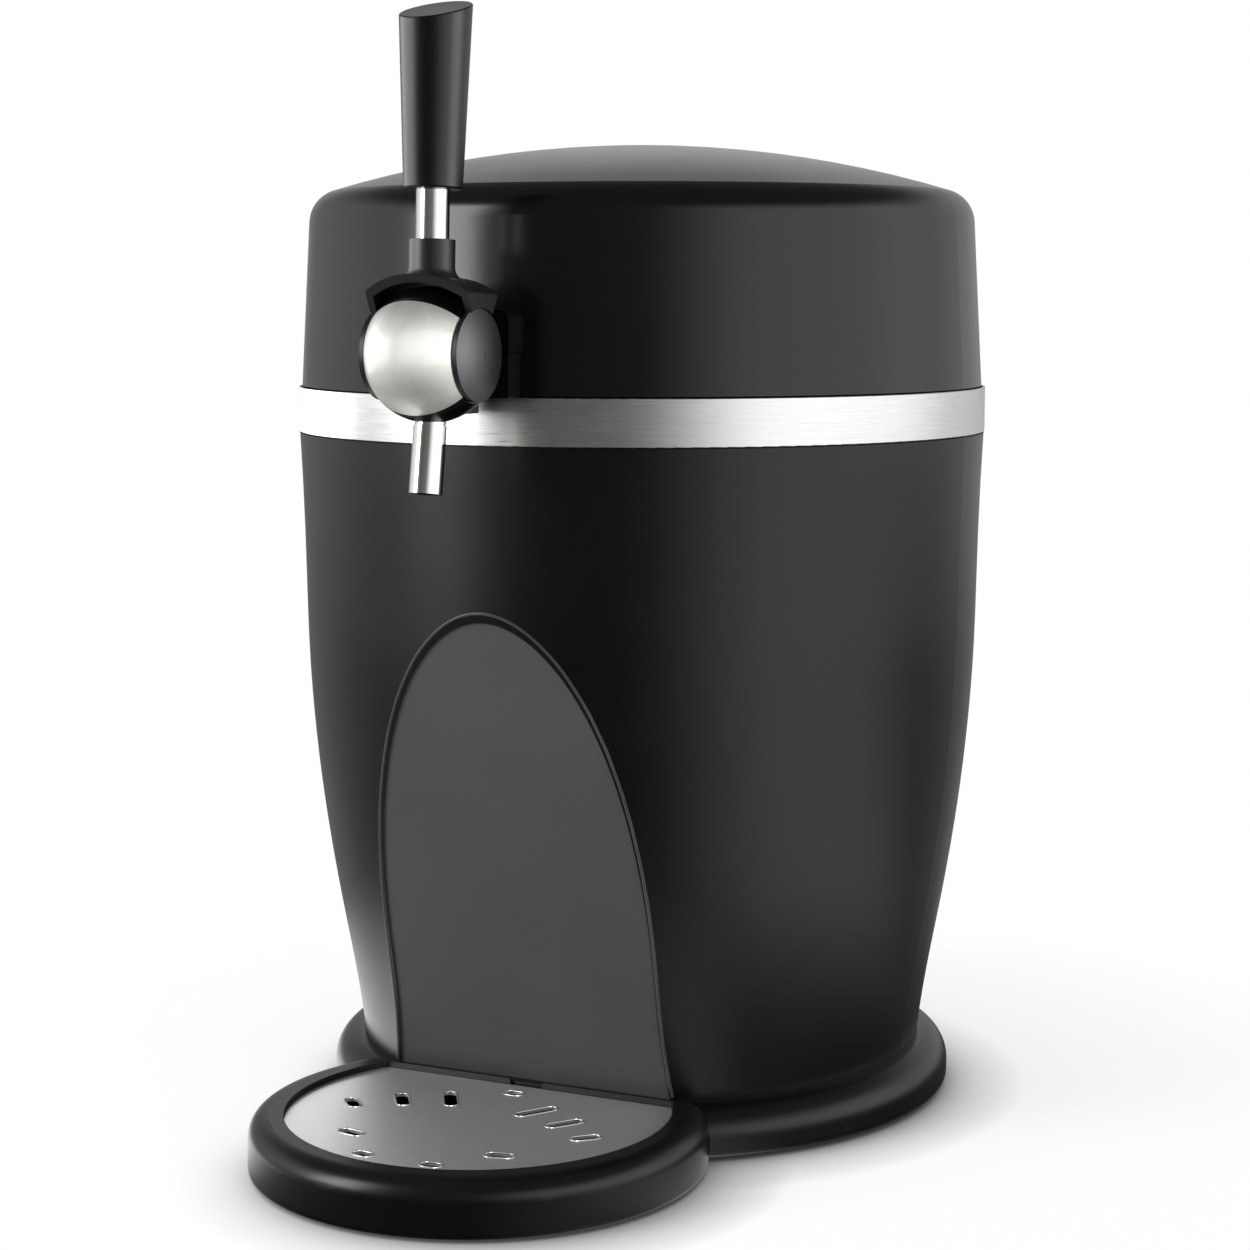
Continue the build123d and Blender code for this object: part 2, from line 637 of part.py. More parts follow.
with BuildPart() as rubber_feet:
    discs(level(0), FOOT_SPOTS, FOOT_PAD_R, BASE_Z + FOOT_PAD_DEEP)
    fillet(rubber_feet.edges().group_by(Axis.Z)[0], radius=FOOT_PAD_EDGE)
rubber_feet.part.label = "rubber_feet"
export_step(rubber_feet.part, "parts/rubber_feet.step")

with BuildPart() as base_screws:
    head_z = BASE_Z + SLOT_GAP
    discs(level(head_z), BOSS_SPOTS, SCREW_HEAD_R, SCREW_HEAD_H)
    discs(level(head_z), BOSS_SPOTS, SCREW_R, SHELL_Z + SCREW_BITE - head_z)
    with BuildSketch(level(head_z)):
        with Locations(BOSS_SPOTS):
            RegularPolygon(SCREW_SOCKET_R, 6)
    extrude(amount=SCREW_SOCKET_DEEP, mode=Mode.SUBTRACT)
base_screws.part.label = "base_screws"
export_step(base_screws.part, "parts/base_screws.step")

# ================================================================ shell and front panel
with BuildPart() as panel_pocket:
    with BuildSketch(AXIAL):
        solid_of_shell(ARCH_LIP)
    revolve(axis=BODY_AXIS)
    in_front_of_recess(SLAB_DEEP + EDGE_GAP, Mode.INTERSECT)

with BuildPart() as outer_shell:
    # bosses that carry the foam and take the base screws, tied to the wall by ribs
    with BuildSketch(level(SHELL_Z)):
        with Locations(BOSS_SPOTS):
            Circle(BOSS_R)
        for angle in BOSS_ANGLES:
            with PolarLocations((SHELL_RIM_R + BOSS_CIRCLE_R) / 2, 1, start_angle=angle):
                Rectangle(SHELL_RIM_R - BOSS_CIRCLE_R, RIB_T)
    extrude(amount=FOAM_Z - SHELL_Z)
    with BuildSketch(AXIAL):
        solid_of_shell(SHELL_T / 2)
    revolve(axis=BODY_AXIS, mode=Mode.INTERSECT)
    discs(level(SHELL_Z), BOSS_SPOTS, SCREW_R + RUN_FIT, SCREW_HOLE_DEEP, Mode.SUBTRACT)
    # the wall
    outside = shell_outline(0)
    inside = shell_outline(SHELL_T)
    with BuildSketch(AXIAL):
        with BuildLine():
            Spline(*outside)
            Line(outside[-1], inside[-1])
            Spline(*inside)
            Line(inside[0], outside[0])
        make_face()
    revolve(axis=BODY_AXIS)
    # the flat front recess, with a pocket behind its edge for the panel
    in_front_of_recess(0, Mode.SUBTRACT)
    add(panel_pocket.part, mode=Mode.SUBTRACT)
    cut_panel_window(PANEL_BACK - PANEL_PLATE_T - PANEL_RIM_T, EDGE_GAP)
    # warm air leaves through slots at the rear
    for side in (-1, 1):
        for step in range(VENTS_A_SIDE):
            turn = 180 + side * (VENT_FIRST + VENT_STEP * step)
            across = spoke(turn + 90)
            with BuildSketch(Plane(origin=(0, AXIS_Y, VENT_Z), x_dir=across.x_dir, z_dir=spoke(turn).x_dir)):
                SlotOverall(VENT_H, VENT_W, rotation=90)
            extrude(amount=FAR, mode=Mode.SUBTRACT)
outer_shell.part.label = "outer_shell"
export_step(outer_shell.part, "parts/outer_shell.step")

with BuildPart() as recess_panel:
    with BuildSketch(AXIAL):
        solid_of_shell(ARCH_LIP + EDGE_GAP)
    revolve(axis=BODY_AXIS)
    in_front_of_recess(SLAB_DEEP, Mode.INTERSECT)
    in_front_of_recess(PANEL_RECESS, Mode.SUBTRACT)
recess_panel.part.label = "recess_panel"
export_step(recess_panel.part, "parts/recess_panel.step")

# ================================================================ keg well and foam
with BuildPart() as keg_liner:
    with BuildSketch(AXIAL):
        bend_r = WELL_R - WELL_FILLET
        bend_z = WELL_FLOOR_Z + WELL_FILLET
        slant = sqrt(0.5)
        with BuildLine():
            Polyline((bend_r, LINER_FLOOR_Z), (0, LINER_FLOOR_Z), (0, WELL_FLOOR_Z), (bend_r, WELL_FLOOR_Z))
            ThreePointArc((bend_r, WELL_FLOOR_Z),
                          (bend_r + WELL_FILLET * slant, bend_z - WELL_FILLET * slant),
                          (WELL_R, bend_z))
            Polyline((WELL_R, bend_z), (WELL_R, DECK_Z), (LINER_LIP_R, DECK_Z),
                     (LINER_LIP_R, DECK_Z - LINER_T), (LINER_OUT_R, DECK_Z - LINER_T),
                     (LINER_OUT_R, bend_z))
            ThreePointArc((LINER_OUT_R, bend_z),
                          (bend_r + (WELL_FILLET + LINER_T) * slant,
                           bend_z - (WELL_FILLET + LINER_T) * slant),
                          (bend_r, LINER_FLOOR_Z))
        make_face()
    revolve(axis=BODY_AXIS)
keg_liner.part.label = "keg_liner"
export_step(keg_liner.part, "parts/keg_liner.step")

with BuildPart() as insulation_jacket:
    with BuildSketch(AXIAL):
        solid_of_shell(SHELL_T + SLOT_GAP)
    revolve(axis=BODY_AXIS)
    with BuildSketch(level(FOAM_Z)):
        Circle(FAR)
    extrude(amount=COLLAR_Z - SPIGOT_H - 1 - FOAM_Z, mode=Mode.INTERSECT)
    # room for the liner, the cold plate, the front panel, the service panel and the probe
    discs(level(LINER_FLOOR_Z), [(0, 0)], LINER_OUT_R + BODY_GAP, SHELL_TOP_Z, Mode.SUBTRACT)
    with BuildSketch(level(FOAM_Z)):
        Rectangle(COLD_PLATE_SIZE + 2 * BODY_GAP, COLD_PLATE_SIZE + 2 * BODY_GAP)
    extrude(amount=LINER_FLOOR_Z - FOAM_Z, mode=Mode.SUBTRACT)
    in_front_of_recess(SLAB_DEEP + BODY_GAP, Mode.SUBTRACT)
    cut_panel_window(PANEL_BACK - PANEL_PLATE_T - 1, 1)
    with BuildSketch(level(PROBE_Z)):
        with Locations((0, LINER_OUT_R + PROBE_R)):
            Rectangle(2 * PROBE_R + 1, 2 * PROBE_R + 1)
    extrude(amount=PROBE_L + 1, mode=Mode.SUBTRACT)
insulation_jacket.part.label = "insulation_jacket"
export_step(insulation_jacket.part, "parts/insulation_jacket.step")

with BuildPart() as temperature_probe:
    discs(level(PROBE_Z), [(0, LINER_OUT_R + PROBE_R + EDGE_GAP)], PROBE_R, PROBE_L)
temperature_probe.part.label = "temperature_probe"
export_step(temperature_probe.part, "parts/temperature_probe.step")

# ================================================================ deck, band and gasket
with BuildPart() as upper_collar:
    seat_r = BAND_R - BAND_T
    spigot_r = SHELL_RIM_R - SHELL_T - SPIGOT_GAP
    with BuildSketch(AXIAL):
        ring(LINER_OUT_R + BODY_GAP, seat_r, DECK_Z - DECK_T, DECK_Z)
        ring(seat_r - COLLAR_T, seat_r, COLLAR_Z, DECK_Z)
        ring(spigot_r - COLLAR_T, seat_r, COLLAR_Z, COLLAR_Z + COLLAR_T)
        ring(spigot_r - COLLAR_T, spigot_r, COLLAR_Z - SPIGOT_H, COLLAR_Z)
        # a step inside the joint line rests on the shell's rim
        ring(spigot_r - COLLAR_T, SHELL_RIM_R - SHELL_T / 2, SHELL_TOP_Z, COLLAR_Z)
    revolve(axis=BODY_AXIS)
    with BuildSketch(AXIAL):
        ring(0, LINER_LIP_R + EDGE_GAP, DECK_Z - LINER_T, DECK_Z)
        ring(GASKET_R, GASKET_R + GASKET_W, DECK_Z - GASKET_GROOVE, DECK_Z)
    revolve(axis=BODY_AXIS, mode=Mode.SUBTRACT)
    # peg that parks the keg coupler
    discs(level(DECK_Z), PEG_SPOT, COUPLER_IN_R - EDGE_GAP, PEG_H)
    discs(level(DECK_Z), BRACKET_SCREWS, SMALL_SCREW_R, -DECK_T, Mode.SUBTRACT)
upper_collar.part.label = "upper_collar"
export_step(upper_collar.part, "parts/upper_collar.step")

with BuildPart() as lid_gasket:
    with BuildSketch(AXIAL):
        gasket_z = DECK_Z - GASKET_GROOVE
        ring(GASKET_R, GASKET_R + GASKET_W, gasket_z, gasket_z + GASKET_H)
    revolve(axis=BODY_AXIS)
    fillet(lid_gasket.edges().group_by(Axis.Z)[-1], radius=GASKET_H / 3)
lid_gasket.part.label = "lid_gasket"
export_step(lid_gasket.part, "parts/lid_gasket.step")

with BuildPart() as trim_band:
    with BuildSketch(AXIAL):
        ring(BAND_R - BAND_T, BAND_R, COLLAR_Z, DECK_Z)
    revolve(axis=BODY_AXIS)
    fillet(trim_band.edges().filter_by(GeomType.CIRCLE).sort_by(SortBy.RADIUS)[-2:], radius=BAND_T / 3)
trim_band.part.label = "trim_band"
export_step(trim_band.part, "parts/trim_band.step")


# ================================================================ lid
def saddle_outline(gap):
    """The tap saddle's outline across the shank, from below the deck to its rounded top."""
    top = SADDLE_H + gap
    low = LID_Z - TAP_Z - DECK_T
    with Locations((0, (top + low) / 2)):
        Rectangle(SADDLE_W + 2 * gap, top - low)
    fillet(vertices().group_by(Axis.Y)[-1], radius=SADDLE_CORNER + gap)


def cut_lid_rooms():
    """Room in the lid's inner parts for the tap's saddle, nut and elbow, and for the hinge bracket."""
    foot = LID_Z - DECK_T
    with BuildSketch(level(foot)) as profile:
        with Locations((0, -(LID_FOOT_R + BOWL_R - ROOM_D) / 2)):
            Rectangle(SADDLE_W + 2 * ROOM_GAP, LID_FOOT_R - BOWL_R + ROOM_D)
    extrude(profile.sketch, amount=NOTCH_TOP_Z + ROOM_GAP - foot, mode=Mode.SUBTRACT)
    with BuildSketch(level(foot)) as profile:
        with Locations((0, (LID_FOOT_R + BRACKET_BACK) / 2 - ROOM_GAP)):
            Rectangle(2 * ARM_X + ARM_W + 4 * ROOM_GAP, LID_FOOT_R - BRACKET_BACK + 2 * ROOM_GAP)
    extrude(profile.sketch, amount=DECK_Z + ARM_H + 2 * ROOM_GAP - foot, mode=Mode.SUBTRACT)


with BuildPart() as lid_hollow:
    with BuildSketch(AXIAL):
        solid_of_lid(LID_T)
    revolve(axis=BODY_AXIS)

with BuildPart() as lid_shell:
    with BuildSketch(AXIAL):
        solid_of_lid(0)
    revolve(axis=BODY_AXIS)
    add(lid_hollow.part, mode=Mode.SUBTRACT)
    with BuildSketch(across_shank(SADDLE_FRONT)):
        saddle_outline(BODY_GAP)
    extrude(amount=SADDLE_FRONT - BOWL_R, mode=Mode.SUBTRACT)
    # two notches let the hinge bracket's arms through the rear wall
    with BuildSketch(facing_back(BRACKET_BACK)):
        with Locations((ARM_X, LID_Z), (-ARM_X, LID_Z)):
            Rectangle(ARM_W + 2 * SLOT_GAP, 2 * (ARM_H + ROOM_GAP))
    extrude(amount=FAR, mode=Mode.SUBTRACT)
    discs(facing_back(BRACKET_BACK), LEAF_SCREWS, SMALL_SCREW_R, FAR, Mode.SUBTRACT)
lid_shell.part.label = "lid_shell"
export_step(lid_shell.part, "parts/lid_shell.step")

with BuildPart() as lid_liner:
    with BuildSketch(AXIAL):
        ring(BOWL_R, BOWL_R + BOWL_T, FLANGE_Z, LID_Z + BOWL_H)
        ring(0, BOWL_R + BOWL_T, LID_Z + BOWL_H, LID_Z + BOWL_H + BOWL_T)
        ring(BOWL_R, LID_FOOT_R - LID_T - SLOT_GAP, FLANGE_Z, FLANGE_Z + BOWL_T)
    revolve(axis=BODY_AXIS)
    cut_lid_rooms()
lid_liner.part.label = "lid_liner"
export_step(lid_liner.part, "parts/lid_liner.step")

with BuildPart() as lid_insulation:
    with BuildSketch(AXIAL):
        solid_of_lid(LID_T + BODY_GAP)
    revolve(axis=BODY_AXIS)
    with BuildSketch(AXIAL):
        ring(0, BOWL_R + BOWL_T + BODY_GAP, 0, LID_Z + BOWL_H + BOWL_T + BODY_GAP)
        ring(0, FAR, 0, FLANGE_Z + BOWL_T + BODY_GAP)
    revolve(axis=BODY_AXIS, mode=Mode.SUBTRACT)
    cut_lid_rooms()
    discs(facing_back(BRACKET_BACK), LEAF_SCREWS, SMALL_SCREW_R + BODY_GAP, FAR, Mode.SUBTRACT)
lid_insulation.part.label = "lid_insulation"
export_step(lid_insulation.part, "parts/lid_insulation.step")

# ================================================================ hinge
with BuildPart() as lid_hinge_leaf:
    with BuildSketch(facing_back(BRACKET_END)):
        with Locations((0, LID_Z + BODY_GAP + LEAF_H / 2)):
            RectangleRounded(LEAF_W, LEAF_H, LEAF_T)
    extrude(amount=LEAF_FACE - BRACKET_END)
    # knuckle and its web to the plate
    with BuildSketch(HINGE):
        Circle(KNUCKLE_R)
        with Locations((-KNUCKLE_R / 2 - WEB_PAST, WEB_PAST)):
            Rectangle(KNUCKLE_R + 2 * WEB_PAST, KNUCKLE_R + WEB_PAST)
    extrude(amount=LEAF_W / 2, both=True)
    with BuildSketch(AXIAL):
        solid_of_lid(0)
    revolve(axis=BODY_AXIS, mode=Mode.SUBTRACT)
    with BuildSketch(HINGE):
        Circle(HINGE_PIN_R + RUN_FIT)
    extrude(amount=LEAF_W, both=True, mode=Mode.SUBTRACT)
    discs(facing_back(LEAF_FACE), LEAF_SCREWS, SMALL_HEAD_R + EDGE_GAP, -SMALL_HEAD_H, Mode.SUBTRACT)
    discs(facing_back(LEAF_FACE), LEAF_SCREWS, SMALL_SCREW_R, -LEAF_W, Mode.SUBTRACT)
lid_hinge_leaf.part.label = "lid_hinge_leaf"
export_step(lid_hinge_leaf.part, "parts/lid_hinge_leaf.step")

with BuildPart() as leaf_screws:
    discs(facing_back(LEAF_FACE), LEAF_SCREWS, SMALL_HEAD_R, -SMALL_HEAD_H)
    discs(facing_back(LEAF_FACE), LEAF_SCREWS, SMALL_SCREW_R, -SMALL_HEAD_H - LEAF_T - LID_T)
leaf_screws.part.label = "leaf_screws"
export_step(leaf_screws.part, "parts/leaf_screws.step")

with BuildPart() as hinge_bracket:
    arm_l = HINGE_BACK - BRACKET_BACK
    with BuildSketch(HINGE):
        with Locations((-arm_l / 2, ARM_H / 2 - HINGE_H)):
            Rectangle(arm_l, ARM_H)
        Circle(KNUCKLE_R)
    extrude(amount=ARM_X + ARM_W / 2, both=True)
    # between the arms only a thin plate is left, on the deck
    with BuildSketch(HINGE):
        with Locations((0, BRACKET_T - HINGE_H + ARM_H)):
            Rectangle(2 * arm_l + 1, 2 * ARM_H)
        with Locations((BRACKET_END - HINGE_BACK + arm_l, 0)):
            Rectangle(2 * arm_l, 4 * ARM_H)
    extrude(amount=ARM_X - ARM_W / 2, both=True, mode=Mode.SUBTRACT)
    with BuildSketch(HINGE):
        Circle(HINGE_PIN_R)
    extrude(amount=FAR, both=True, mode=Mode.SUBTRACT)
    discs(level(DECK_Z), [(0, 0)], FAR, -KNUCKLE_R, Mode.SUBTRACT)
    discs(level(DECK_Z), BRACKET_SCREWS, SMALL_SCREW_R, BRACKET_T, Mode.SUBTRACT)
hinge_bracket.part.label = "hinge_bracket"
export_step(hinge_bracket.part, "parts/hinge_bracket.step")

with BuildPart() as bracket_screws:
    discs(level(DECK_Z - DECK_T), BRACKET_SCREWS, SMALL_SCREW_R, DECK_T + BRACKET_T)
    discs(level(DECK_Z + BRACKET_T), BRACKET_SCREWS, SMALL_HEAD_R, SMALL_HEAD_H)
bracket_screws.part.label = "bracket_screws"
export_step(bracket_screws.part, "parts/bracket_screws.step")

with BuildPart() as hinge_pin:
    with BuildSketch(HINGE):
        Circle(HINGE_PIN_R)
    extrude(amount=ARM_X + ARM_W / 2, both=True)
hinge_pin.part.label = "hinge_pin"
export_step(hinge_pin.part, "parts/hinge_pin.step")


# ================================================================ tap body
def wedge(angles):
    """Wedge from the plane's origin out past the yoke; angles in degrees."""
    with BuildLine() as edge_line:
        Polyline((0, 0), *around(2 * YOKE_R, angles), close=True)
    make_face(edge_line.edges())


with BuildPart() as chrome_shell:
    with Locations(BALL):
        Sphere(BALL_R)
        Sphere(BALL_R - CHROME_T, mode=Mode.SUBTRACT)
    with BuildSketch(TAP_SIDE):
        wedge((180 - CHROME_UP, 160, 200, 180 + CHROME_DOWN))
    extrude(amount=CHROME_X, both=True, mode=Mode.INTERSECT)
chrome_shell.part.label = "chrome_shell"
export_step(chrome_shell.part, "parts/chrome_shell.step")

with BuildPart() as tap_core:
    with Locations(BALL):
        Sphere(BALL_R)
    with BuildSketch(TAP_SIDE):
        Rectangle(3 * BALL_R, 3 * BALL_R)
    extrude(amount=CORE_X, both=True, mode=Mode.INTERSECT)
    # neck to the saddle, with a lug below it
    neck_front = TAP_FRONT - BALL_R / 2
    neck_l = neck_front - SADDLE_FRONT - BODY_GAP
    with BuildSketch(across_shank(neck_front)):
        Circle(NECK_R)
        with Locations((0, -LUG_DROP / 2)):
            Rectangle(LUG_W, LUG_DROP)
    extrude(amount=neck_l)
    add(chrome_shell.part, mode=Mode.SUBTRACT)
    # wet chamber for the finger and the plunger's head
    with BuildSketch(TAP_SIDE):
        with Locations(((CAVITY_BACK - CAVITY_FRONT) / 2, (CAVITY_TOP - CAVITY_DEEP) / 2)):
            Rectangle(CAVITY_BACK + CAVITY_FRONT, CAVITY_TOP + CAVITY_DEEP)
    extrude(amount=CAVITY_X, both=True, mode=Mode.SUBTRACT)
    cavity_end = TAP_FRONT - CAVITY_BACK
    discs(across_shank(cavity_end), [(0, 0)], SHANK_BORE_R, CAVITY_BACK + BALL_R, Mode.SUBTRACT)
    discs(across_shank(SHANK_TIP_FRONT), [(0, 0)], SHANK_R, BALL_R, Mode.SUBTRACT)
    with BuildSketch(TAP_SIDE):
        Circle(PIVOT_R + RUN_FIT)
    extrude(amount=BALL_R, both=True, mode=Mode.SUBTRACT)
    # seat of the spout, and its way up into the chamber
    discs(SPOUT.offset(SPOUT_TOP), [(0, 0)], SPOUT_NECK_R, SPOUT_TIP, Mode.SUBTRACT)
    discs(SPOUT.offset(SPOUT_TOP), [(0, 0)], SPOUT_BORE_R, CAVITY_DEEP - SPOUT_TOP - SPOUT_WAY_IN, Mode.SUBTRACT)
tap_core.part.label = "tap_core"
export_step(tap_core.part, "parts/tap_core.step")

with BuildPart() as spout_tube:
    discs(SPOUT.offset(SPOUT_TOP), [(0, 0)], SPOUT_NECK_R, SPOUT_NECK - SPOUT_TOP)
    discs(SPOUT.offset(SPOUT_NECK), [(0, 0)], SPOUT_R, SPOUT_TIP - SPOUT_NECK)
    discs(SPOUT.offset(SPOUT_TOP), [(0, 0)], SPOUT_BORE_R, SPOUT_TIP - SPOUT_TOP, Mode.SUBTRACT)
spout_tube.part.label = "spout_tube"
export_step(spout_tube.part, "parts/spout_tube.step")

with BuildPart() as tap_saddle_lower:
    with BuildSketch(across_shank(SADDLE_FRONT)):
        with Locations((0, (DECK_Z - TAP_Z) / 2)):
            Rectangle(SADDLE_W, TAP_Z - DECK_Z)
        Circle(SHANK_R, mode=Mode.SUBTRACT)
    extrude(amount=SADDLE_FRONT - SADDLE_REAR)
tap_saddle_lower.part.label = "tap_saddle_lower"
export_step(tap_saddle_lower.part, "parts/tap_saddle_lower.step")

with BuildPart() as tap_saddle_upper:
    with BuildSketch(across_shank(SADDLE_FRONT)):
        saddle_outline(BODY_GAP)
        with Locations((0, BODY_GAP - SADDLE_W)):
            Rectangle(2 * SADDLE_W, 2 * SADDLE_W, mode=Mode.SUBTRACT)
        Circle(SHANK_R + BODY_GAP, mode=Mode.SUBTRACT)
    extrude(amount=SADDLE_FRONT - SADDLE_LID_REAR)
tap_saddle_upper.part.label = "tap_saddle_upper"
export_step(tap_saddle_upper.part, "parts/tap_saddle_upper.step")

with BuildPart() as tap_shank:
    discs(across_shank(SHANK_TIP_FRONT), [(0, 0)], SHANK_R, SHANK_TIP_FRONT - SHANK_END_FRONT)
    discs(across_shank(SHANK_TIP_FRONT), [(0, 0)], SHANK_BORE_R, SHANK_TIP_FRONT, Mode.SUBTRACT)
    discs(across_shank(SEAT_FRONT), [(0, 0)], CHAMBER_R, SEAT_FRONT, Mode.SUBTRACT)
tap_shank.part.label = "tap_shank"
export_step(tap_shank.part, "parts/tap_shank.step")

with BuildPart() as shank_nut:
    with BuildSketch(across_shank(SADDLE_REAR)):
        RegularPolygon(NUT_R, 6)
        Circle(SHANK_R, mode=Mode.SUBTRACT)
    extrude(amount=NUT_T)
shank_nut.part.label = "shank_nut"
export_step(shank_nut.part, "parts/shank_nut.step")

# ================================================================ lever
def yoke_arch(half_w, foot_z, top_z, top_r):
    """Arch across the lever's plane: upright sides and a curved top."""
    shoulder_z = top_z - top_r + sqrt(top_r ** 2 - half_w ** 2)
    with BuildLine() as edge_line:
        Polyline((half_w, shoulder_z), (half_w, foot_z), (-half_w, foot_z), (-half_w, shoulder_z))
        ThreePointArc((-half_w, shoulder_z), (0, top_z), (half_w, shoulder_z))
    make_face(edge_line.edges())


with BuildPart() as lever_yoke:
    # arch over the ball, with upright sides
    arch_r = (YOKE_X ** 2 + YOKE_SHOULDER ** 2) / (2 * YOKE_SHOULDER)
    with BuildSketch(LEVER_AXIAL):
        yoke_arch(YOKE_X, 0, YOKE_R, arch_r)
        fillet(vertices().sort_by(Axis.Y)[-2:], YOKE_CORNER)
    extrude(amount=YOKE_R, both=True)
    with BuildSketch(LEVER_SIDE):
        wedge((90 - YOKE_SPREAD, 90, 90 + YOKE_SPREAD))
    extrude(amount=YOKE_X, both=True, mode=Mode.INTERSECT)
    with BuildSketch(TAP_SIDE):
        Circle(HUB_R)
    extrude(amount=HUB_X, both=True)
    # collar of the rod, flared into the yoke
    with BuildSketch(LEVER_AXIAL):
        flare_foot = (FLARE[0][0], HUB_IN_X)
        with BuildLine():
            Line(flare_foot, FLARE[0])
            ThreePointArc(*FLARE)
            Polyline(FLARE[-1], (FLARE[-1][0], STEM_COLLAR_TOP), (0, STEM_COLLAR_TOP),
                     (0, HUB_IN_X), flare_foot)
        make_face()
    revolve(axis=LEVER_AXIS)
    # room for the ball
    with BuildSketch(LEVER_AXIAL):
        yoke_arch(HUB_IN_X, -2 * HUB_R, YOKE_IN_R, arch_r - YOKE_T)
    extrude(amount=YOKE_R, both=True, mode=Mode.SUBTRACT)
    # the side caps sit in steps of the ears
    for side in (-1, 1):
        discs(TAP_SIDE.offset(side * HUB_X), [(0, 0)], HUB_R + RUN_FIT, side * BALL_R, Mode.SUBTRACT)
    with BuildSketch(TAP_SIDE):
        Circle(PIVOT_R)
    extrude(amount=BALL_R, both=True, mode=Mode.SUBTRACT)
    discs(LEVER.offset(ROD_FOOT), [(0, 0)], ROD_R, STEM_COLLAR_TOP, Mode.SUBTRACT)
lever_yoke.part.label = "lever_yoke"
export_step(lever_yoke.part, "parts/lever_yoke.step")

with BuildPart() as hub_caps:
    dome_r = (HUB_R ** 2 + CAP_RISE ** 2) / (2 * CAP_RISE)
    dome_half = asin(HUB_R / dome_r) / 2
    edge_x = HUB_X + CAP_EDGE
    with BuildSketch(TAP_AXIAL):
        with BuildLine():
            Polyline((edge_x + CAP_RISE, 0), (HUB_X, 0), (HUB_X, HUB_R), (edge_x, HUB_R))
            ThreePointArc((edge_x, HUB_R),
                          (edge_x + CAP_RISE - dome_r * (1 - cos(dome_half)), dome_r * sin(dome_half)),
                          (edge_x + CAP_RISE, 0))
        make_face()
        mirror(about=Plane.YZ)
    revolve(axis=PIVOT_AXIS)
hub_caps.part.label = "hub_caps"
export_step(hub_caps.part, "parts/hub_caps.step")

with BuildPart() as pivot_pin:
    for side in (-1, 1):
        discs(TAP_SIDE.offset(side * PIVOT_MID_X), [(0, 0)], PIVOT_R, side * (HUB_X - PIVOT_MID_X))
    # flat middle with the finger that pushes the valve
    with BuildSketch(TAP_SIDE):
        Rectangle(FINGER_T, 2 * FINGER_HEAD)
    extrude(amount=PIVOT_MID_X, both=True)
    with BuildSketch(TAP_SIDE):
        with Locations((0, -FINGER_L / 2)):
            Rectangle(FINGER_T, FINGER_L)
    extrude(amount=FINGER_W / 2, both=True)
pivot_pin.part.label = "pivot_pin"
export_step(pivot_pin.part, "parts/pivot_pin.step")

with BuildPart() as lever_rod:
    discs(LEVER.offset(ROD_FOOT), [(0, 0)], ROD_R, ROD_TOP - ROD_FOOT)
lever_rod.part.label = "lever_rod"
export_step(lever_rod.part, "parts/lever_rod.step")

with BuildPart() as lever_handle:
    grip_end = GRIP_TOP + GRIP_TOP_R
    taper = (GRIP_TOP_R - GRIP_FOOT_R) / (GRIP_TOP - GRIP_FOOT)
    with BuildSketch(LEVER_AXIAL):
        with BuildLine():
            Polyline((0, GRIP_FOOT), (GRIP_FOOT_R, GRIP_FOOT),
                     (GRIP_FOOT_R + taper * (grip_end - GRIP_FOOT), grip_end), (0, grip_end), close=True)
        make_face()
    revolve(axis=LEVER_AXIS)
    # oblique top
    with BuildSketch(LEVER_SIDE):
        reach = 2 * GRIP_TOP_R
        with BuildLine():
            Polyline((-reach, GRIP_TOP - GRIP_SLOPE * reach), (reach, GRIP_TOP + GRIP_SLOPE * reach),
                     (reach, GRIP_TOP + 2 * reach), (-reach, GRIP_TOP + 2 * reach), close=True)
        make_face()
    extrude(amount=reach, both=True, mode=Mode.SUBTRACT)
    fillet(lever_handle.faces().sort_by(Axis.Z)[-1].edges(), radius=GRIP_EDGE)
    chamfer(lever_handle.faces().sort_by(Axis.Z)[0].edges(), length=GRIP_EDGE)
    discs(LEVER.offset(GRIP_FOOT), [(0, 0)], ROD_R, ROD_TOP - GRIP_FOOT, Mode.SUBTRACT)
lever_handle.part.label = "lever_handle"
export_step(lever_handle.part, "parts/lever_handle.step")

# ================================================================ valve
with BuildPart() as valve_plunger:
    with BuildSketch(across_shank(HEAD_FRONT)):
        with Locations((0, (HEAD_UP - HEAD_DOWN) / 2)):
            Rectangle(HEAD_W, HEAD_UP + HEAD_DOWN)
    extrude(amount=HEAD_T)
    discs(across_shank(HEAD_FRONT), [(0, 0)], STEM_R, HEAD_FRONT - DISC_FRONT)
    discs(across_shank(DISC_FRONT), [(0, 0)], DISC_R, DISC_T)
valve_plunger.part.label = "valve_plunger"
export_step(valve_plunger.part, "parts/valve_plunger.step")

with BuildPart() as valve_seal:
    with BuildSketch(across_shank(SEAL_FRONT)):
        Circle(SEAL_R)
        Circle(STEM_R, mode=Mode.SUBTRACT)
    extrude(amount=SEAL_T)
valve_seal.part.label = "valve_seal"
export_step(valve_seal.part, "parts/valve_seal.step")

with BuildPart() as valve_spring:
    coil_front = DISC_FRONT - DISC_T - SPRING_WIRE_R - EDGE_GAP
    coil_l = coil_front - STUB_FRONT - SPRING_WIRE_R - EDGE_GAP
    with BuildLine():
        coil = Helix(pitch=coil_l / SPRING_TURNS, height=coil_l, radius=SPRING_R,
                     center=(0, front(coil_front), TAP_Z), direction=(0, 1, 0))
    with BuildSketch(Plane(origin=coil @ 0, z_dir=coil % 0)):
        Circle(SPRING_WIRE_R)
    sweep(path=coil, is_frenet=True)
valve_spring.part.label = "valve_spring"
export_step(valve_spring.part, "parts/valve_spring.step")


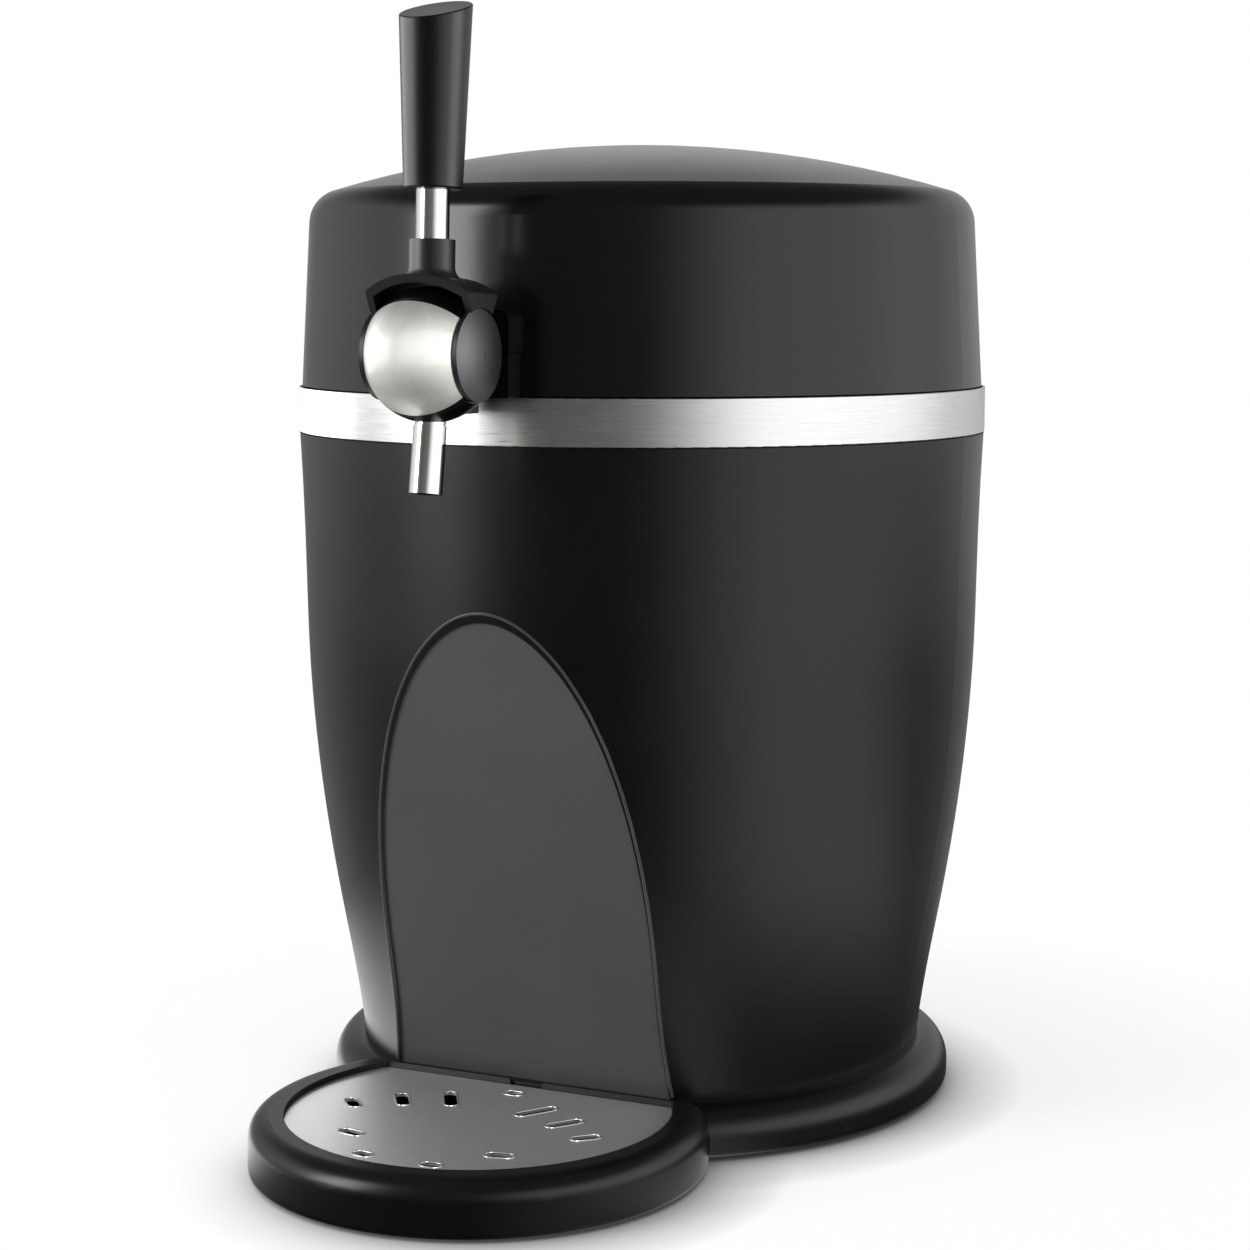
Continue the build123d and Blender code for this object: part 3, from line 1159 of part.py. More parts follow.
# ================================================================ beer line
def arc_bar(radius, start, end, mode=Mode.ADD):
    """Round bar that follows the line's bend between two angles from the tap."""
    with BuildSketch(spoke(start)) as profile:
        with Locations((LINE_R, TAP_Z)):
            Circle(radius)
    revolve(profile.sketch, axis=BODY_AXIS, revolution_arc=end - start, mode=mode)


ELBOW_CORNER = (0, front(LINE_R), TAP_Z)
ELBOW_SIDE = Plane(origin=ELBOW_CORNER, x_dir=(0, 1, 0), z_dir=(1, 0, 0))

with BuildPart() as shank_elbow:
    discs(across_shank(STUB_FRONT), [(0, 0)], CHAMBER_R - RUN_FIT, STUB_FRONT - LINE_R)
    discs(across_shank(SHANK_END_FRONT), [(0, 0)], ELBOW_COLLAR_R, ELBOW_COLLAR_T)
    with Locations(ELBOW_CORNER):
        Sphere(CHAMBER_R - RUN_FIT)
    discs(ELBOW_SIDE, [(0, 0)], ELBOW_ARM_R, ELBOW_ARM)
    arc_bar(BARB_R, LINE_START / 2, LINE_START + BARB_ARC)
    discs(across_shank(STUB_FRONT), [(0, 0)], ELBOW_BORE_R, STUB_FRONT - LINE_R, Mode.SUBTRACT)
    arc_bar(ELBOW_BORE_R, 0, LINE_START + BARB_ARC, Mode.SUBTRACT)
shank_elbow.part.label = "shank_elbow"
export_step(shank_elbow.part, "parts/shank_elbow.step")

with BuildPart() as beer_line:
    arc_bar(LINE_OUT_R, LINE_START, LINE_END)
    arc_bar(LINE_IN_R, LINE_START, LINE_END, Mode.SUBTRACT)
beer_line.part.label = "beer_line"
export_step(beer_line.part, "parts/beer_line.step")

with BuildPart() as line_clips:
    for angle in CLIP_ANGLES:
        with BuildSketch(spoke(angle)):
            with Locations((LINE_R, (DECK_Z + TAP_Z) / 2)):
                Rectangle(2 * (LINE_OUT_R + EDGE_GAP + CLIP_WALL), TAP_Z - DECK_Z)
            with Locations((LINE_R, TAP_Z)):
                Circle(LINE_OUT_R + EDGE_GAP, mode=Mode.SUBTRACT)
        extrude(amount=CLIP_W / 2, both=True)
line_clips.part.label = "line_clips"
export_step(line_clips.part, "parts/line_clips.step")

with BuildPart() as keg_coupler:
    discs(level(DECK_Z), PEG_SPOT, COUPLER_R, COUPLER_H)
    arc_bar(BARB_R, LINE_END - BARB_ARC, COUPLER_ANGLE)
    discs(level(DECK_Z), PEG_SPOT, COUPLER_IN_R, COUPLER_H - COUPLER_WALL, Mode.SUBTRACT)
    arc_bar(ELBOW_BORE_R, LINE_END - BARB_ARC, COUPLER_ANGLE, Mode.SUBTRACT)
keg_coupler.part.label = "keg_coupler"
export_step(keg_coupler.part, "parts/keg_coupler.step")

# ================================================================ cooling module
with BuildPart() as fan_frame:
    with BuildSketch(level(BASE_FLOOR_Z)):
        RectangleRounded(FAN_SIZE, FAN_SIZE, FAN_CORNER)
        Circle(FAN_BORE_R, mode=Mode.SUBTRACT)
    extrude(amount=FAN_T)
    # struts carry the rotor's bearing post
    with BuildSketch(level(BASE_FLOOR_Z)):
        Circle(ROTOR_R)
        with PolarLocations(FAN_BORE_R / 2, 4, start_angle=45):
            Rectangle(FAN_BORE_R + FAN_CORNER, FAN_STRUT_W)
    extrude(amount=FAN_STRUT_T)
    discs(level(BASE_FLOOR_Z), [(0, 0)], FAN_POST_R, FAN_POST_H)
    discs(level(BASE_FLOOR_Z), [(0, 0)], AXLE_R + RUN_FIT, FAN_POST_H, Mode.SUBTRACT)
fan_frame.part.label = "fan_frame"
export_step(fan_frame.part, "parts/fan_frame.step")

with BuildPart() as fan_rotor:
    rotor_z = BASE_FLOOR_Z + ROTOR_LOW
    rotor_h = ROTOR_HIGH - ROTOR_LOW
    discs(level(rotor_z), [(0, 0)], ROTOR_R, rotor_h)
    for blade in range(BLADES):
        out = spoke(360 / BLADES * blade).x_dir
        root = Vector(0, AXIS_Y, rotor_z + rotor_h / 2) + out * BLADE_ROOT
        with BuildSketch(Plane(origin=root, x_dir=(-out.Y, out.X, 0), z_dir=out)):
            Rectangle(BLADE_CHORD, BLADE_T, rotation=BLADE_PITCH)
        extrude(amount=FAN_BORE_R - BLADE_ROOT)
    discs(level(rotor_z), [(0, 0)], FAN_BORE_R - BLADE_TIP_GAP, rotor_h, Mode.INTERSECT)
    discs(level(rotor_z), [(0, 0)], ROTOR_R - ROTOR_WALL, rotor_h - ROTOR_WALL, Mode.SUBTRACT)
    discs(level(rotor_z + rotor_h), [(0, 0)], AXLE_R, 1 - ROTOR_HIGH)
fan_rotor.part.label = "fan_rotor"
export_step(fan_rotor.part, "parts/fan_rotor.step")

with BuildPart() as heat_sink:
    with BuildSketch(level(SINK_Z)):
        Rectangle(SINK_SIZE, SINK_SIZE)
    extrude(amount=SINK_BASE_T)
    with BuildSketch(level(SINK_Z)):
        with GridLocations((SINK_SIZE - FIN_T) / (FIN_COUNT - 1), 1, FIN_COUNT, 1):
            Rectangle(FIN_T, SINK_SIZE)
    extrude(amount=-FIN_H)
heat_sink.part.label = "heat_sink"
export_step(heat_sink.part, "parts/heat_sink.step")

with BuildPart() as peltier_module:
    with BuildSketch(level(MODULE_Z)):
        Rectangle(MODULE_SIZE, MODULE_SIZE)
    extrude(amount=MODULE_T)
peltier_module.part.label = "peltier_module"
export_step(peltier_module.part, "parts/peltier_module.step")

with BuildPart() as cold_plate:
    with BuildSketch(level(COLD_PLATE_Z)):
        Rectangle(COLD_PLATE_SIZE, COLD_PLATE_SIZE)
    extrude(amount=LINER_FLOOR_Z - COLD_PLATE_Z)
cold_plate.part.label = "cold_plate"
export_step(cold_plate.part, "parts/cold_plate.step")

# ================================================================ control board
with BuildPart() as control_board:
    with BuildSketch(level(BOARD_Z)):
        with Locations((0, BOARD_BACK)):
            Rectangle(BOARD_W, BOARD_D)
        with Locations(BOARD_SPOTS):
            Circle(BOARD_SCREW_R, mode=Mode.SUBTRACT)
    extrude(amount=BOARD_T)
control_board.part.label = "control_board"
export_step(control_board.part, "parts/control_board.step")

with BuildPart() as board_parts:
    for x, y, width, depth, height in BOARD_BLOCKS:
        with BuildSketch(level(BOARD_Z + BOARD_T)):
            with Locations((x, BOARD_BACK + y)):
                Rectangle(width, depth)
        extrude(amount=height)
    capacitors = [(x, BOARD_BACK + y) for x, y in CAPACITOR_SPOTS]
    discs(level(BOARD_Z + BOARD_T), capacitors, CAPACITOR_R, CAPACITOR_H)
board_parts.part.label = "board_parts"
export_step(board_parts.part, "parts/board_parts.step")

with BuildPart() as board_screws:
    discs(level(BOARD_Z + BOARD_T), BOARD_SPOTS, BOARD_SCREW_R, 1 - BOARD_POST_H)
    discs(level(BOARD_Z + BOARD_T), BOARD_SPOTS, BOARD_HEAD_R, BOARD_HEAD_H)
board_screws.part.label = "board_screws"
export_step(board_screws.part, "parts/board_screws.step")

# ================================================================ rear service panel
with BuildPart() as service_panel:
    with BuildSketch(AXIAL):
        solid_of_shell(BODY_GAP)
    revolve(axis=BODY_AXIS)
    with BuildSketch(facing_back(PANEL_BACK - PANEL_PLATE_T)):
        with Locations((0, PANEL_MID_Z)):
            Rectangle(PANEL_W, PANEL_H)
    extrude(amount=FAR, mode=Mode.INTERSECT)
    # a rim frames the sunk plate
    with BuildSketch(facing_back(PANEL_BACK)):
        with Locations((0, PANEL_MID_Z)):
            Rectangle(PANEL_W - 2 * PANEL_RIM_T, PANEL_H - 2 * PANEL_RIM_T)
    extrude(amount=FAR, mode=Mode.SUBTRACT)
    with BuildSketch(facing_back(PANEL_BACK)):
        with Locations(INLET_SPOT):
            Rectangle(INLET_W + 2 * EDGE_GAP, INLET_H + 2 * EDGE_GAP)
        with Locations(SWITCH_SPOT):
            Rectangle(SWITCH_W + 2 * EDGE_GAP, SWITCH_H + 2 * EDGE_GAP)
    extrude(amount=-PANEL_PLATE_T, mode=Mode.SUBTRACT)
service_panel.part.label = "service_panel"
export_step(service_panel.part, "parts/service_panel.step")

with BuildPart() as inlet_socket:
    with BuildSketch(facing_back(PANEL_BACK)):
        with Locations(INLET_SPOT):
            RectangleRounded(INLET_W + 2 * FLANGE_EDGE, INLET_H + 2 * FLANGE_EDGE, FLANGE_EDGE)
    extrude(amount=FLANGE_T)
    with BuildSketch(facing_back(PANEL_BACK)):
        with Locations(INLET_SPOT):
            Rectangle(INLET_W, INLET_H)
    extrude(amount=-INLET_D)
    with BuildSketch(facing_back(PANEL_BACK + FLANGE_T)):
        with Locations(INLET_SPOT):
            SlotOverall(INLET_HOLE_W, INLET_HOLE_H)
    extrude(amount=-INLET_HOLE_D, mode=Mode.SUBTRACT)
    discs(facing_back(PANEL_BACK), INLET_PIN_SPOTS, INLET_PIN_R, -INLET_D, Mode.SUBTRACT)
inlet_socket.part.label = "inlet_socket"
export_step(inlet_socket.part, "parts/inlet_socket.step")

with BuildPart() as inlet_pins:
    tip_back = PANEL_BACK + FLANGE_T - INLET_PIN_BELOW
    pin_l = INLET_D + INLET_TAG + tip_back - PANEL_BACK
    discs(facing_back(tip_back), INLET_PIN_SPOTS, INLET_PIN_R, -pin_l)
inlet_pins.part.label = "inlet_pins"
export_step(inlet_pins.part, "parts/inlet_pins.step")

PIVOT_DEPTH = PANEL_BACK + FLANGE_T - ROCKER_PIVOT_DEEP
ROCKER = Plane(origin=(SWITCH_X, back(PIVOT_DEPTH), PANEL_MID_Z),
               x_dir=(0, cos(radians(ROCKER_TILT)), sin(radians(ROCKER_TILT))), z_dir=(1, 0, 0))

with BuildPart() as switch_housing:
    with BuildSketch(facing_back(PANEL_BACK)):
        with Locations(SWITCH_SPOT):
            RectangleRounded(SWITCH_W + 2 * SWITCH_WALL, SWITCH_H + 2 * SWITCH_WALL, SWITCH_WALL)
    extrude(amount=FLANGE_T)
    with BuildSketch(facing_back(PANEL_BACK)):
        with Locations(SWITCH_SPOT):
            Rectangle(SWITCH_W, SWITCH_H)
    extrude(amount=-SWITCH_D)
    with BuildSketch(facing_back(PANEL_BACK + FLANGE_T)):
        with Locations(SWITCH_SPOT):
            Rectangle(SWITCH_W - 2 * SWITCH_WALL, SWITCH_H - 2 * SWITCH_WALL)
    extrude(amount=-SWITCH_D, mode=Mode.SUBTRACT)
    with BuildSketch(ROCKER):
        Circle(TRUNNION_R + RUN_FIT)
    extrude(amount=SWITCH_W, both=True, mode=Mode.SUBTRACT)
switch_housing.part.label = "switch_housing"
export_step(switch_housing.part, "parts/switch_housing.step")

with BuildPart() as switch_rocker:
    brow = ROCKER_FACE + ROCKER_HALF_H * tan(radians(ROCKER_TILT))
    with BuildSketch(ROCKER):
        with BuildLine():
            Polyline((ROCKER_FACE, 0), (brow, ROCKER_HALF_H), (-1, ROCKER_HALF_H),
                     (-ROCKER_BACK_D, ROCKER_FACE), (-ROCKER_BACK_D, -ROCKER_FACE),
                     (-1, -ROCKER_HALF_H), (brow, -ROCKER_HALF_H), close=True)
        make_face()
    extrude(amount=ROCKER_W / 2, both=True)
    with BuildSketch(ROCKER):
        Circle(TRUNNION_R)
    extrude(amount=TRUNNION_X, both=True)
switch_rocker.part.label = "switch_rocker"
export_step(switch_rocker.part, "parts/switch_rocker.step")


# ================================================================ drip tray
def cut_tray_room(inner, outer, low, high, chord):
    """Cut a round room out of the tray, round an island, with a flat rear in front of the body."""
    with BuildSketch(tray_level(low)) as profile:
        Circle(outer)
        if inner:
            Circle(inner, mode=Mode.SUBTRACT)
        with Locations((0, TRAY_FRONT - chord + FAR / 2)):
            Rectangle(FAR, FAR, mode=Mode.SUBTRACT)
    extrude(profile.sketch, amount=high - low, mode=Mode.SUBTRACT)


with BuildPart() as drip_tray:
    with BuildSketch(TRAY_AXIAL):
        solid_of_dish(TRAY_R, TRAY_Z, TRAY_TOP_Z, TRAY_FOOT_EDGE, TRAY_SHOULDER)
    revolve(axis=TRAY_AXIS)
    with BuildSketch(facing_front(TRAY_REAR)):
        Rectangle(2 * FAR, 2 * FAR)
    extrude(amount=-FAR, mode=Mode.SUBTRACT)
    # the basin, the pocket of the drip plate, and the hollow of the rim, open below
    cut_tray_room(0, TRAY_POCKET_R - TRAY_LEDGE_W, TRAY_Z + TRAY_FLOOR_T, LEDGE_Z, TRAY_REAR + TRAY_REAR_T)
    cut_tray_room(0, TRAY_POCKET_R, LEDGE_Z, TRAY_TOP_Z, TRAY_REAR + TRAY_LIP_T)
    cut_tray_room(TRAY_POCKET_R + TRAY_WALL, TRAY_R - TRAY_WALL, TRAY_Z,
                  TRAY_TOP_Z - TRAY_SHOULDER + TRAY_WALL, TRAY_REAR + TRAY_REAR_T)
    # finger notch behind the plate
    with BuildSketch(facing_front(TRAY_REAR + TRAY_LIP_T)):
        with Locations((0, TRAY_TOP_Z)):
            Rectangle(TRAY_NOTCH_W, 2 * PLATE_DEEP)
    extrude(amount=-FAR, mode=Mode.SUBTRACT)
    # tongues that plug into the base
    with BuildSketch(facing_front(TRAY_REAR + 1)):
        with Locations((TONGUE_X, TONGUE_Z + TONGUE_T / 2), (-TONGUE_X, TONGUE_Z + TONGUE_T / 2)):
            Rectangle(TONGUE_W, TONGUE_T)
    extrude(amount=-TONGUE_L - 1)
    discs(tray_level(TRAY_Z), around(TRAY_PAD_CIRCLE_R, (-90, 30, 150)), TRAY_PAD_R + EDGE_GAP,
          TRAY_PAD_DEEP, Mode.SUBTRACT)
drip_tray.part.label = "drip_tray"
export_step(drip_tray.part, "parts/drip_tray.step")

with BuildPart() as tray_pads:
    discs(tray_level(0), around(TRAY_PAD_CIRCLE_R, (-90, 30, 150)), TRAY_PAD_R, TRAY_Z + TRAY_PAD_DEEP)
tray_pads.part.label = "tray_pads"
export_step(tray_pads.part, "parts/tray_pads.step")

with BuildPart() as drip_plate:
    with BuildSketch(tray_level(PLATE_Z)):
        Circle(TRAY_POCKET_R - BODY_GAP)
        with Locations((0, TRAY_FRONT - TRAY_REAR - TRAY_LIP_T - BODY_GAP + FAR / 2)):
            Rectangle(FAR, FAR, mode=Mode.SUBTRACT)
        for x, y, length, angle in DRAINS:
            for side in (-1, 1):
                with Locations(Location((side * x, y, 0), (0, 0, side * angle))):
                    SlotOverall(length, DRAIN_W, mode=Mode.SUBTRACT)
        with Locations((0, CENTRE_DRAIN_Y)):
            SlotOverall(CENTRE_DRAIN_L, DRAIN_W, mode=Mode.SUBTRACT)
    extrude(amount=-PLATE_T)
drip_plate.part.label = "drip_plate"
export_step(drip_plate.part, "parts/drip_plate.step")
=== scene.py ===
import json
from math import cos, pi, radians, sin, sqrt, tan

import bmesh
import bpy
from mathutils import Matrix, Vector


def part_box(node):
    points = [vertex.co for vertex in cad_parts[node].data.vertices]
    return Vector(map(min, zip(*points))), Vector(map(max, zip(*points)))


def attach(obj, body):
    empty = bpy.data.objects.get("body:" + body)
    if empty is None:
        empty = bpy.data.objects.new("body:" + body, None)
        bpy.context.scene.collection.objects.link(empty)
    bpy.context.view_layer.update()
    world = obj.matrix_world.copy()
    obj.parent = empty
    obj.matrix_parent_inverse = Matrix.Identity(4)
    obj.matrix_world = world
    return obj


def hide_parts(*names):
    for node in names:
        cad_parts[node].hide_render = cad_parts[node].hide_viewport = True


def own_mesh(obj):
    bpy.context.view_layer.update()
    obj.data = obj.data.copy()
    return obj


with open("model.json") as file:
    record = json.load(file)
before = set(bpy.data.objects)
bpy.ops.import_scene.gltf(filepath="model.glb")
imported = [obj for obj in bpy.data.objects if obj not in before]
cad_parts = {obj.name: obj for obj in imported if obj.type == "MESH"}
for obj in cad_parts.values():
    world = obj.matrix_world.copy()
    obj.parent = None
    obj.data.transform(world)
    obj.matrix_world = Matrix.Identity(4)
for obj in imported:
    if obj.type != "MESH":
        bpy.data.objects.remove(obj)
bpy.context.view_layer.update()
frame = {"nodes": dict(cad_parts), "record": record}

scene = bpy.context.scene
MM = 0.001

# Centre line of the round body, in metres from the frame's origin
BODY_Y = (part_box("trim_band")[0].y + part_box("trim_band")[1].y) / 2


# ---------------------------------------------------------------- small helpers
def hex_rgb(code):
    """Linear colour of an sRGB hex code."""
    channels = [int(code[i:i + 2], 16) / 255 for i in (0, 2, 4)]
    return tuple(c / 12.92 if c <= 0.04045 else ((c + 0.055) / 1.055) ** 2.4 for c in channels) + (1,)


def add_node(tree, kind, settings=(), feeds=(), **values):
    """Add a node and set its properties; each of its inputs takes a socket to link or a plain value."""
    node = tree.nodes.new(kind)
    for name, value in dict(settings).items():
        setattr(node, name, value)
    feeds = dict(feeds) | {name.replace("_", " "): value for name, value in values.items()}
    for name, feed in feeds.items():
        if isinstance(feed, bpy.types.NodeSocket):
            tree.links.new(feed, node.inputs[name])
        else:
            node.inputs[name].default_value = feed
    return node


def new_material(name, **values):
    """Material with one Principled shader; returns material, tree and shader."""
    material = bpy.data.materials.new(name)
    material.use_nodes = True
    tree = material.node_tree
    shader = tree.nodes["Principled BSDF"]
    for key, value in values.items():
        shader.inputs[key.replace("_", " ")].default_value = value
    return material, tree, shader


def grains(tree, size_mm, detail=2.0, rough=0.5, stretch=(1, 1, 1)):
    """Noise of a real size on the piece's own coordinates; returns its value socket."""
    place = add_node(tree, "ShaderNodeTexCoord")
    sized = add_node(tree, "ShaderNodeMapping", Vector=place.outputs["Object"], Scale=stretch)
    noise = add_node(tree, "ShaderNodeTexNoise", Vector=sized.outputs["Vector"], Scale=1 / (size_mm * MM),
                     Detail=detail, Roughness=rough)
    return noise.outputs["Fac"]


# The noise seldom leaves this range, so this much of it is spread over each finish's own range
NOISE_LOW, NOISE_HIGH = 0.3, 0.7
# Size in mm of the patches in which a moulding's colour and gloss drift
PATCH_MM = 40


def dress(tree, shader, tones, dark, light, roughness, swing, relief, depth_mm):
    """Tint a shader and vary its gloss by the tones, and raise its surface by the relief."""
    tint = add_node(tree, "ShaderNodeValToRGB", Fac=tones)
    ends = tint.color_ramp.elements
    for end, position, code in ((ends[0], NOISE_LOW, dark), (ends[1], NOISE_HIGH, light)):
        end.position = position
        end.color = hex_rgb(code)
    gloss = add_node(tree, "ShaderNodeMapRange", Value=tones, From_Min=NOISE_LOW, From_Max=NOISE_HIGH,
                     To_Min=roughness - swing, To_Max=roughness + swing)
    bump = add_node(tree, "ShaderNodeBump", Height=relief, Strength=1.0, Distance=depth_mm * MM)
    for name, source in (("Base Color", tint), ("Roughness", gloss), ("Normal", bump)):
        tree.links.new(source.outputs[0], shader.inputs[name])


def moulded(name, dark, light, roughness, swing, grain_mm, depth_mm, **values):
    """Moulded plastic or rubber: faint colour variation, patchy gloss and the mould's grain, which is
    drawn coarser than a real tool's tenth of a millimetre so that it shows."""
    material, tree, shader = new_material(name, **values)
    patches = grains(tree, PATCH_MM, detail=3)
    dress(tree, shader, patches, dark, light, roughness, swing, grains(tree, grain_mm), depth_mm)
    return material


# ---------------------------------------------------------------- materials
# Satin ABS, moulded in a lightly etched tool: broad soft highlights and no mirror image
satin_abs = moulded("satin_black_abs", "0b0b0c", "0f0f10", 0.3, 0.02, 0.9, 0.002, IOR=1.5)
# High-gloss ABS from a polished tool: sharper and brighter highlights than the body
gloss_abs = moulded("gloss_black_abs", "0a0a0b", "0e0e0f", 0.21, 0.02, 1.2, 0.001, IOR=1.5)
# Etched ABS: the front panel scatters light more than the body round it
etched_abs = moulded("etched_grey_abs", "49494a", "4c4c4d", 0.58, 0.02, 0.7, 0.010, IOR=1.4)
# Finely textured ABS of the grip: broad soft bands instead of a clear streak
grip_abs = moulded("textured_grip_abs", "080809", "0b0b0c", 0.32, 0.03, 0.8, 0.003, IOR=1.5)
# Finely etched ABS of the tap's side caps: a soft glow in the middle of each dome
cap_abs = moulded("etched_cap_abs", "141415", "18181a", 0.42, 0.02, 0.7, 0.003, IOR=1.5)
# Satin ABS of the lever's yoke, a little paler than the body
yoke_abs = moulded("satin_yoke_abs", "17171a", "1b1b1d", 0.38, 0.02, 0.8, 0.003, IOR=1.5)
# Edge bead of the arch, painted paler than the body: a painted highlight that reads as a fine line of light
arch_highlight_abs = moulded("arch_edge_painted_highlight", "48484a", "565658", 0.34, 0.03, 0.7, 0.004, IOR=1.5)
# Glass-filled nylon of the inner and rear mouldings: the fibres leave it dull
nylon = moulded("matte_black_nylon", "161616", "1e1e1e", 0.55, 0.05, 0.8, 0.012)
# Moulded rubber: dull and slightly dusty
rubber = moulded("moulded_rubber", "121212", "191919", 0.75, 0.05, 0.6, 0.02)
# Silicone of gaskets and seals: an even, half-dull grey
silicone = moulded("grey_silicone", "6e7072", "7a7c7e", 0.5, 0.05, 1.5, 0.005)
# Pale ABS of the inner mouldings: clean and softly glossy
liner_abs = moulded("grey_liner_abs", "8f9192", "9a9c9d", 0.4, 0.04, 1.0, 0.006)
# Rigid polyurethane foam: cream, open and rough
foam = moulded("polyurethane_foam", "d6c79c", "e6dab4", 0.9, 0.05, 2.5, 0.3)
# Solder mask over copper and laminate: a glossy green lacquer
board_mask = moulded("solder_mask", "0b3b1c", "10502a", 0.35, 0.05, 3.0, 0.01)
# Moulded epoxy of the components: an even, half-matt black
component_resin = moulded("component_resin", "151517", "1f1f22", 0.5, 0.06, 1.0, 0.01)
# Alumina faces of the cooling module: chalky white
alumina = moulded("alumina_ceramic", "e8e7e0", "f0efe9", 0.45, 0.05, 1.0, 0.005)
# Clear food-grade PVC hose: milky grey with a wet gloss
hose_pvc = moulded("beer_hose_pvc", "c3c8c4", "d2d6d2", 0.25, 0.04, 3.0, 0.004, Coat_Weight=0.2)


def metal(name, dark, light, roughness, swing, stretch, line_mm, depth_mm, metallic=1.0, **values):
    """Worked metal: fine lines along the direction that the tool or the rollers ran."""
    material, tree, shader = new_material(name, Metallic=metallic, **values)
    lines = grains(tree, line_mm, detail=3, rough=0.6, stretch=stretch)
    dress(tree, shader, lines, dark, light, roughness, swing, lines, depth_mm)
    return material


# Stainless strip brushed along its length: reflections smear up and down the band. The lines are
# coarser than real ones, so that they show
band_steel = metal("brushed_stainless", "dcdcdb", "f3f3f1", 0.3, 0.04, (0.02, 0.02, 1), 0.35, 0.0015)
# Pressed stainless sheet, bead blasted: it stays light also where it mirrors the dark body
plate_steel = metal("pressed_stainless", "dededc", "ebebe9", 0.46, 0.05, (0.1, 1, 1), 0.6, 0.002,
                    metallic=0.75)
# Bright rolled edge of the plate's slots: a thin line of light round each one
rim_steel = metal("polished_slot_rim", "eeeeec", "f8f8f6", 0.3, 0.04, (1, 1, 1), 0.8, 0.001)
# Chrome plate over a polished casting: a clean mirror with a slightly warm tone
chrome = metal("chrome_plate", "e6e4e0", "ecebe8", 0.05, 0.02, (1, 1, 1), 9.0, 0.0002)
# Satin chrome under clear lacquer on the tap's cover: a soft glow with a crisp edge over it
cover_chrome = metal("lacquered_satin_chrome", "e6e4df", "eeece7", 0.6, 0.02, (1, 1, 1), 6.0, 0.0005,
                     Coat_Weight=1.0, Coat_Roughness=0.03)
# Turned stainless steel of pins and fasteners: fine rings that stretch each highlight
turned_steel = metal("turned_stainless", "b4b4b4", "c8c8c8", 0.25, 0.05, (1, 1, 0.2), 0.4, 0.002)
# Blackened zinc plating on steel: dark, with a muted shine
black_zinc = metal("black_zinc_steel", "2c2c2d", "3a3a3b", 0.4, 0.05, (1, 1, 1), 0.8, 0.004)
# Spun aluminium of the well: the roller's rings spread the light up and down
spun_aluminium = metal("spun_aluminium", "c2c3c5", "d0d1d3", 0.32, 0.05, (0.05, 0.05, 1), 0.6, 0.004)
# Extruded aluminium of the fins: a dull shine with lines from the die
extruded_aluminium = metal("extruded_aluminium", "b8b9bb", "c9cacc", 0.35, 0.05, (1, 0.1, 1), 0.5, 0.004)
# Machined brass of the nut and contact pins: warm and bright
machined_brass = metal("machined_brass", "b08d48", "c29f58", 0.28, 0.05, (1, 1, 1), 0.5, 0.003)

finishes = {
    "satin_black": satin_abs, "gloss_black": gloss_abs, "panel_black": etched_abs, "collar_black": nylon,
    "rubber_black": rubber, "silicone_grey": silicone, "liner_grey": liner_abs, "foam": foam,
    "board_green": board_mask, "component_black": component_resin, "ceramic": alumina,
    "beer_hose": hose_pvc, "band_steel": band_steel, "plate_steel": plate_steel, "chrome": chrome,
    "steel": turned_steel, "zinc_steel": black_zinc, "liner_alu": spun_aluminium,
    "sink_alu": extruded_aluminium, "brass": machined_brass,
}
for part in frame["record"]["subparts"]:
    node = frame["nodes"][part["node"]]
    node.data.materials.clear()
    node.data.materials.append(finishes[part["material_slot"]])

# Pieces whose finish differs from the rest of their slot
for node_name, finish in (("lever_handle", grip_abs), ("lever_yoke", yoke_abs), ("hub_caps", cap_abs),
                          ("chrome_shell", cover_chrome)):
    frame["nodes"][node_name].data.materials[0] = finish


# ---------------------------------------------------------------- own pieces
def own_piece(name, mesh, material, body):
    """Link a new piece that rides on a body."""
    mesh.materials.clear()
    mesh.materials.append(material)
    piece = bpy.data.objects.new(name, mesh)
    scene.collection.objects.link(piece)
    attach(piece, body)
    return piece


def settled_mesh(holder):
    """Mesh of an object with its modifiers and bevels worked out."""
    scene.collection.objects.link(holder)
    bpy.context.view_layer.update()
    mesh = bpy.data.meshes.new_from_object(holder.evaluated_get(bpy.context.evaluated_depsgraph_get()))
    bpy.data.objects.remove(holder)
    return mesh


# Radius of a slot's corners as a share of its width: just under half, so that they never meet
CORNER = 0.499
CORNER_STEPS = 10
WIRE_SIDES = 12


